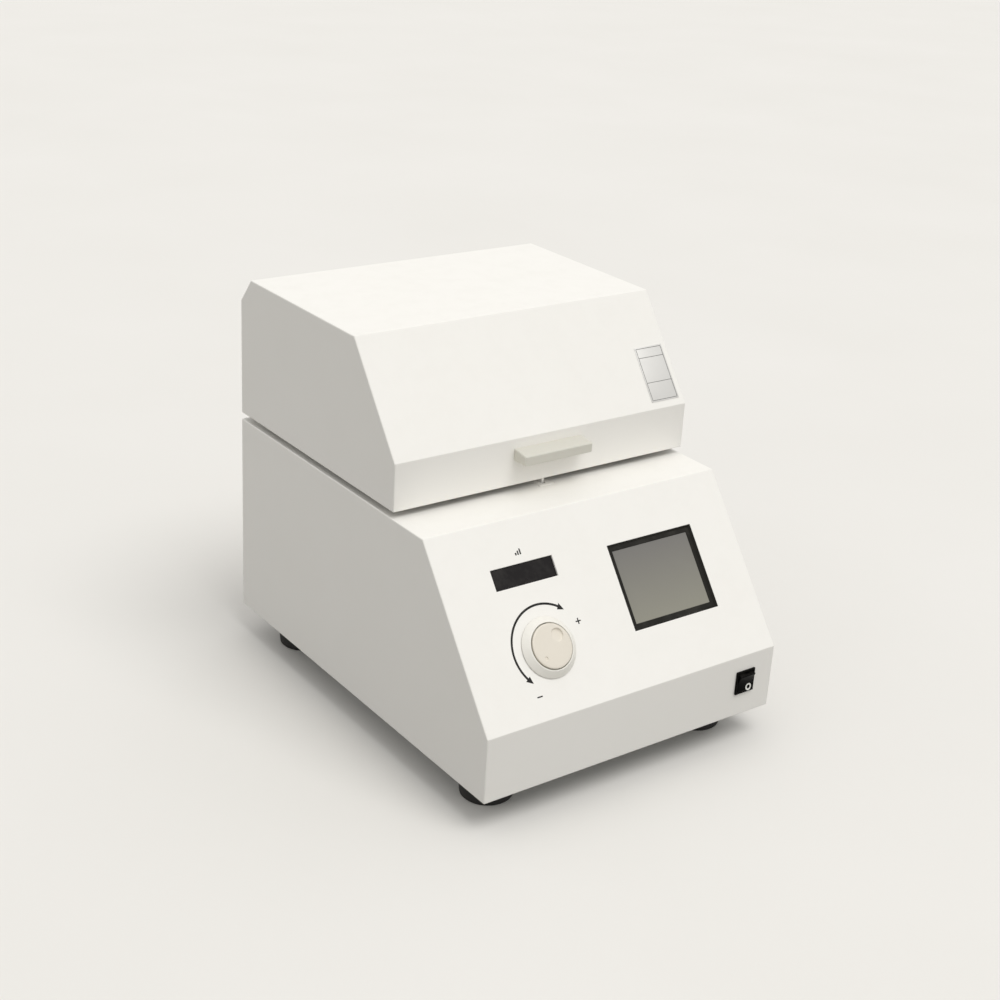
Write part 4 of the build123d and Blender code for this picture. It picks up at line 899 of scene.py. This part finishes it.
arc_radius, half_line, first, last = 30.1 * mm, 0.8 * mm, 56.5, 213.5
half_head, head_length = 2.4 * mm, 10
arrow = curved_line(arc_radius, half_line, first, last, 72)
for angle, way in ((first, -1), (last, 1)):
    points = [on_arc(arc_radius + side, angle) for side in (-half_head, -half_line, half_line, half_head)]
    points.append(on_arc(arc_radius, angle + way * head_length))
    arrow.faces.new([arrow.verts.new(point) for point in points])
bmesh.ops.remove_doubles(arrow, verts=arrow.verts, dist=1e-6)
printed("speed_arrow", arrow, panel @ shift(1.3, 0.2, 0))

# %% [markdown]
# The bars are grids of one cell, scaled to size. A sign whose lines cross is a grid of cells between cuts, of
# which only those in a line's row or column are kept, so that no two films overlap.

# %% Plus, minus and rising bars
knob_x, knob_y = -61.4, 46.8


def bars(*spots):
    """Flat rectangles; each is (middle x, middle y, width, height) in millimetres on the panel."""
    shape = bmesh.new()
    for x, y, width, height in spots:
        sized = shift(x - knob_x, y - knob_y, 0) @ Matrix.Diagonal((width * mm, height * mm, 1, 1))
        bmesh.ops.create_grid(shape, x_segments=1, y_segments=1, size=0.5, matrix=sized)
    return shape


def lattice(xs, ys, first):
    """Flat lines that cross: cells between cuts, kept where the column or the row is a line."""
    shape = bmesh.new()
    dots = [[shape.verts.new((x, y, 0)) for x in xs] for y in ys]
    for row, (low, high) in enumerate(zip(dots, dots[1:])):
        for column in range(len(xs) - 1):
            if first in (row % 2, column % 2):
                shape.faces.new((low[column], low[column + 1], high[column + 1], high[column]))
    bmesh.ops.delete(shape, geom=[vert for vert in shape.verts if not vert.link_faces], context="VERTS")
    return shape


arm, half_line = 2.2 * mm, 0.45 * mm
cuts = (-arm, -half_line, half_line, arm)
printed("faster_mark", lattice(cuts, cuts, 1), panel @ shift(-31.0 - knob_x, 58.4 - knob_y, 0))
printed("slower_mark", bars((-80.5, 16.7, 4.4, 0.9)), panel)
rising = bars((-62.8, 114.2, 1.1, 1.8), (-60.9, 114.8, 1.1, 3.0), (-59.0, 115.4, 1.1, 4.2))
printed("speed_mark", rising, panel)

# %% [markdown]
# The switch has a small white ring printed on the half that is pressed for off. Each of its points is lifted to
# the curve of the rocker's shallow dip, so the ink follows the plastic.

# %% Ring on the rocker
moulding("white_ink", (238, 238, 232), (228, 228, 222), 0.50, cells=2500.0, depth=0.000002)
off_ring = curved_line(2.15 * mm, 0.65 * mm, 0, 360, 48)
bmesh.ops.subdivide_edges(off_ring, edges=off_ring.edges[:], cuts=1, use_grid_fill=True)
bmesh.ops.translate(off_ring, vec=(3.4 * mm, -4.5 * mm, 0), verts=off_ring.verts)
for vert in off_ring.verts:
    vert.co.z = dip(vert.co.y)
printed("off_ring", off_ring, rocker_place, "rocker_plastic", body_of["power_rocker"], "white_ink")

# %% [markdown]
# ## The plate on the lid
#
# The right end of the lid's slope carries a small satin silver plate. It is blank here, with a thin grey line
# round its rim and two lines that divide it in three fields. The plate is foil a third of a millimetre thick.

# %% Plate and its lines
metal("silver_foil", (226, 225, 222), (214, 213, 210), 0.50, scale=90.0, metallic=0.25)
moulding("grey_ink", (96, 95, 92), (86, 85, 83), 0.55, cells=2500.0, depth=0.000002)
lid_low, lid_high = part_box("lid_shell")
band_height, slope_run = 35.5 * mm, 55.6 * mm
slope_foot = Vector((0, lid_low.y, lid_low.z + band_height))
slope_place = stand(slope_foot, (0, slope_foot.z - lid_high.z, slope_run))
plate_place = slope_place @ shift(112.2, 27.1, 0)
half_x, half_y, plate_top = 26.5 * mm / 2, 43.5 * mm / 2, 0.3
foil = block((-half_x, -half_y, 0.02 * mm), (half_x, half_y, plate_top * mm), 0.1 * mm)
new_piece("lid_plate", foil, "handle_aluminium", "lid", place=plate_place, finish="silver_foil")

margin, half_line = 1.3 * mm, 0.175 * mm
columns = (margin - half_x, half_x - margin)
rows = (margin - half_y, -6.5 * mm, 13.2 * mm, half_y - margin)
xs, ys = ([middle + side for middle in lines for side in (-half_line, half_line)] for lines in (columns, rows))
foil_top = plate_place @ shift(0, 0, plate_top - 0.01)
printed("lid_plate_lines", lattice(xs, ys, 0), foil_top, body="lid", ink="grey_ink")

# %% [markdown]
# ## Screws
#
# All screws are pan heads with a cross recess. One screw is turned, its recess carved, and a copy is set on
# every screw of a node. The loose solids of a node are found by walking from point to point over a merged copy
# of its mesh. A screw's longest side is its axis, and its wider end is its head.

# %% Find the solids of a node
def solids_of(node):
    """The points of each separate solid of a node, in the order of its mesh."""
    shape = bmesh.new()
    shape.from_mesh(frame["nodes"][node].data)
    bmesh.ops.remove_doubles(shape, verts=shape.verts, dist=1e-6)
    seen, solids = set(), []
    for first in shape.verts:
        waiting, reached = [first], []
        while waiting:
            vert = waiting.pop()
            if vert not in seen:
                seen.add(vert)
                reached.append(vert.co.copy())
                waiting += [edge.other_vert(vert) for edge in vert.link_edges]
        if reached:
            solids.append(reached)
    shape.free()
    return solids


def screw_place(points):
    """The place of a screw's head, with Z out of the head, and the screw's length."""
    shank_clear = 2.6 * mm
    low, high = corners_of(points)
    middle, size = (low + high) / 2, high - low
    axis = max(range(3), key=lambda side: size[side])
    across = [side for side in range(3) if side != axis]
    wide = [p for p in points if math.hypot(*(p[side] - middle[side] for side in across)) > shank_clear]
    out = Vector((0, 0, 0))
    out[axis] = math.copysign(1, sum(p[axis] - middle[axis] for p in wide))
    aside = (0, 1, 0) if axis == 0 else (1, 0, 0)
    return stand(middle + out * size[axis] / 2, out, aside), size[axis]


# %% [markdown]
# The head is turned with a flat top that rounds over to its rim, and two thin blocks at right angles carve the
# recess. Screws are never driven home at the same angle, so each copy is turned a bit further.

# %% Turn one screw and set it everywhere
def screw(length):
    """A pan-head screw with a cross recess, its head's top at the origin; the length is in millimetres."""
    head, shank, under = 3.6, 2.0, -1.8
    body = lathe([
        (0, -length), (shank - 0.5, -length), (shank, -length + 0.6), (shank, under), (head, under), (head, -1.15),
        (head - 0.15, -0.75), (head - 0.55, -0.35), (head - 1.2, -0.1), (head - 2.0, 0), (0, 0),
    ], 28)
    for angle in (0, 90):
        slit = block((-1.9 * mm, -0.42 * mm, -1.1 * mm), (1.9 * mm, 0.42 * mm, 1 * mm))
        bmesh.ops.transform(slit, matrix=turn(angle), verts=slit.verts)
        body = carve(body, slit)
    return body


for node in ("back_screws", "bottom_screws", "deck_screws", "lid_screws", "foot_screws"):
    spots = {}
    for number, points in enumerate(solids_of(node)):
        head_place, length = screw_place(points)
        spots.setdefault(round(length * 1000, 1), []).append(head_place @ Matrix.Rotation(number * 1.1, 4, "Z"))
    screws = bmesh.new()
    for length, places in spots.items():
        add_copies(screws, screw(length), places)
    remodel(node, node.replace("_screws", "_cross_screws"), screws)

# %% [markdown]
# ## The lip of the lock slot
#
# The striker of the lid's lock drops through a slot in the top of the base. A thin painted plate round the slot
# covers the cut edge of the sheet, so only a narrow gap stays dark. It is one more frame moulding, flat and low.

# %% Lock plate
slot_edge, plate_edge = (1.7 * mm, 6.7 * mm), (5.7 * mm, 9.7 * mm)
under, top, rim_level, spread = 0.02, 0.5, 0.25, 0.3
lock_plate = moulding_frame([
    (slot_edge, 0, under), (slot_edge, 0, top), (plate_edge, 0, top), (plate_edge, spread, rim_level),
    (plate_edge, spread, under),
])
lock_place = middle_of(*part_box("lid_striker"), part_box("base_shell")[1].z)
new_piece("lock_plate", lock_plate, slot_of["base_shell"], "base", place=lock_place)

# %% [markdown]
# ## Feet
#
# The casing stands on four turned rubber feet. Each widens a little upwards, has a groove round its middle that
# lets it give, and a rounded edge below where it meets the floor. One section is turned, and it is set under
# every solid of the node that it replaces.

# %% Turned feet
def set_copies(node, name, one, place=Matrix()):
    """Replaces each solid of a node by a copy of one shape that stands upright in a place."""
    back = place.inverted()
    spots = []
    for points in solids_of(node):
        low, high = corners_of([back @ point for point in points])
        spots.append(middle_of(low, high, low.z))
    remodel(node, name, add_copies(bmesh.new(), one, spots), place)


foot = lathe([
    (2.1, 9.0), (6.0, 9.0), (6.0, 0.8), (6.6, 0.1), (7.2, 0), (17.2, 0), (18.3, 0.3), (18.95, 1.0), (19.2, 2.2),
    (19.75, 10.2), (19.3, 10.8), (19.1, 11.6), (19.1, 12.6), (19.4, 13.4), (20.05, 14.0), (20.85, 23.6),
    (20.6, 24.5), (20.0, 25.0), (2.1, 25.0),
], 64)
set_copies("foot_pads", "feet_turned", foot)

# %% [markdown]
# ## Caps of the sample containers
#
# Each steel container has a screw cap with a knurled rim: a row of fine grooves along the axis. The cap is
# turned first, and then every third step of its wall is pressed in by half a millimetre, which cuts the grooves
# without a Boolean. The rack leans, so the caps are set in its own frame.

# %% Knurled caps
rack_plane = joint_place("rack_nod")
low, high = corners_of([rack_plane.inverted() @ point for point in solids_of("container_caps")[0]])
height, wall, neck, neck_top = (high.z - low.z) / mm, (high.x - low.x) / 2 / mm, 14.6, 10.0
knurls, groove = 48, 0.5
cap = lathe([
    (0, neck_top), (neck, neck_top), (neck, 0), (wall - 0.4, 0), (wall, 0.4), (wall, 0.8), (wall, height - 2.2),
    (wall, height - 1.8), (wall - 0.5, height - 1.3), (wall - 1.2, height - 0.3), (wall - 2.2, height),
    (8.0, height), (7.4, height - 0.6), (0, height - 0.6),
], knurls * 3)
for vert in cap.verts:
    radius, level = math.hypot(vert.co.x, vert.co.y) / mm, vert.co.z / mm
    step = round(math.atan2(vert.co.y, vert.co.x) / math.tau * knurls * 3)
    if step % 3 == 0 and radius > wall - 0.1 and 0.6 < level < height - 2.0:
        vert.co.xy *= (radius - groove) / radius
set_copies("container_caps", "caps_knurled", cap, rack_plane)

# %% [markdown]
# ## The fan
#
# The blades of a small fan are twisted: flat near the tip, where they move fast, and steeper at the hub. Each
# starts as a flat grid from hub to tip. Every row is turned by its own pitch and bowed a little, and solidify
# gives it a wall. The hub is turned, with a rounded rim and a shallow dish.

# %% Twisted blades
fan_place = stand(joints["fan_turn"]["pos_m"], (0, 1, 0))
back, front = (corner.z / mm for corner in extent("fan_rotor", fan_place))
hub, tip, hub_floor, blades, chord, wall = 12.0, 26.3, back + 4.0, 7, 11.0, 1.1
rotor = lathe([
    (0, back), (1.5, back), (1.5, hub_floor), (hub, hub_floor), (hub, front - 0.9), (hub - 0.3, front - 0.3),
    (hub - 1.0, front), (hub - 2.4, front), (hub - 3.0, front - 0.5), (0, front - 0.5),
], 64)
root, middle = hub - 0.4, (hub_floor + front) / 2 - 0.6
for number in range(blades):
    blade = bmesh.new()
    bmesh.ops.create_grid(blade, x_segments=10, y_segments=8, size=0.5)
    for vert in blade.verts:
        out, along = vert.co.x + 0.5, vert.co.y
        pitch = math.radians(48 - 20 * out)
        width = chord * (0.86 + 0.3 * out)
        radius = root + (tip - root) * out
        bow = 1.3 * (1 - 4 * along**2)
        side = along * width * math.cos(pitch) - bow * math.sin(pitch)
        lift = along * width * math.sin(pitch) + bow * math.cos(pitch)
        angle = side / radius
        vert.co = [value * mm for value in (radius * math.cos(angle), radius * math.sin(angle), middle + lift)]
    bmesh.ops.recalc_face_normals(blade, faces=blade.faces)
    bmesh.ops.solidify(blade, geom=blade.faces[:], thickness=wall * mm)
    bmesh.ops.transform(blade, matrix=turn(360 * number / blades), verts=blade.verts)
    rotor = carve(rotor, blade, "UNION")
remodel("fan_rotor", "fan_blades", rotor, fan_place)

# %% [markdown]
# The guard is bent and welded from round wire: four rings on two crossed bars, with a flattened eye at each end
# of a bar. A ring is a small circle spun round the fan's axis, and a bar is the same circle drawn out straight.

# %% Wire guard
low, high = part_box("fan_guard")
guard_place = stand(((low.x + high.x) / 2, low.y, (low.z + high.z) / 2), (0, 1, 0))
wire, bar_length, eye_reach = (high.y - low.y) / 2, 65 * mm, 25 * math.sqrt(2)
lifted = Matrix.Translation((0, 0, wire))
guard = bmesh.new()
for ring_radius in (28, 21, 14, 7):
    circle = shift(ring_radius, 0, 0) @ lifted @ turn(90, "X")
    verts = bmesh.ops.create_circle(guard, segments=12, radius=wire, matrix=circle)["verts"]
    edges = dict.fromkeys(edge for vert in verts for edge in vert.link_edges)
    spin(guard, verts + list(edges), 72)
for angle in (45, 135):
    add_copies(guard, rod(wire, bar_length, lifted @ turn(angle) @ sideways, 12), [Matrix()])
eye = lathe([(2.05, 0.2), (2.2, 0), (3.6, 0), (3.75, 0.2), (3.75, 1.3), (3.6, 1.5), (2.2, 1.5), (2.05, 1.3)], 32)
add_copies(guard, eye, [turn(angle) @ shift(eye_reach, 0, 0) for angle in (45, 135, 225, 315)])
remodel("fan_guard", "wire_guard", guard, guard_place)
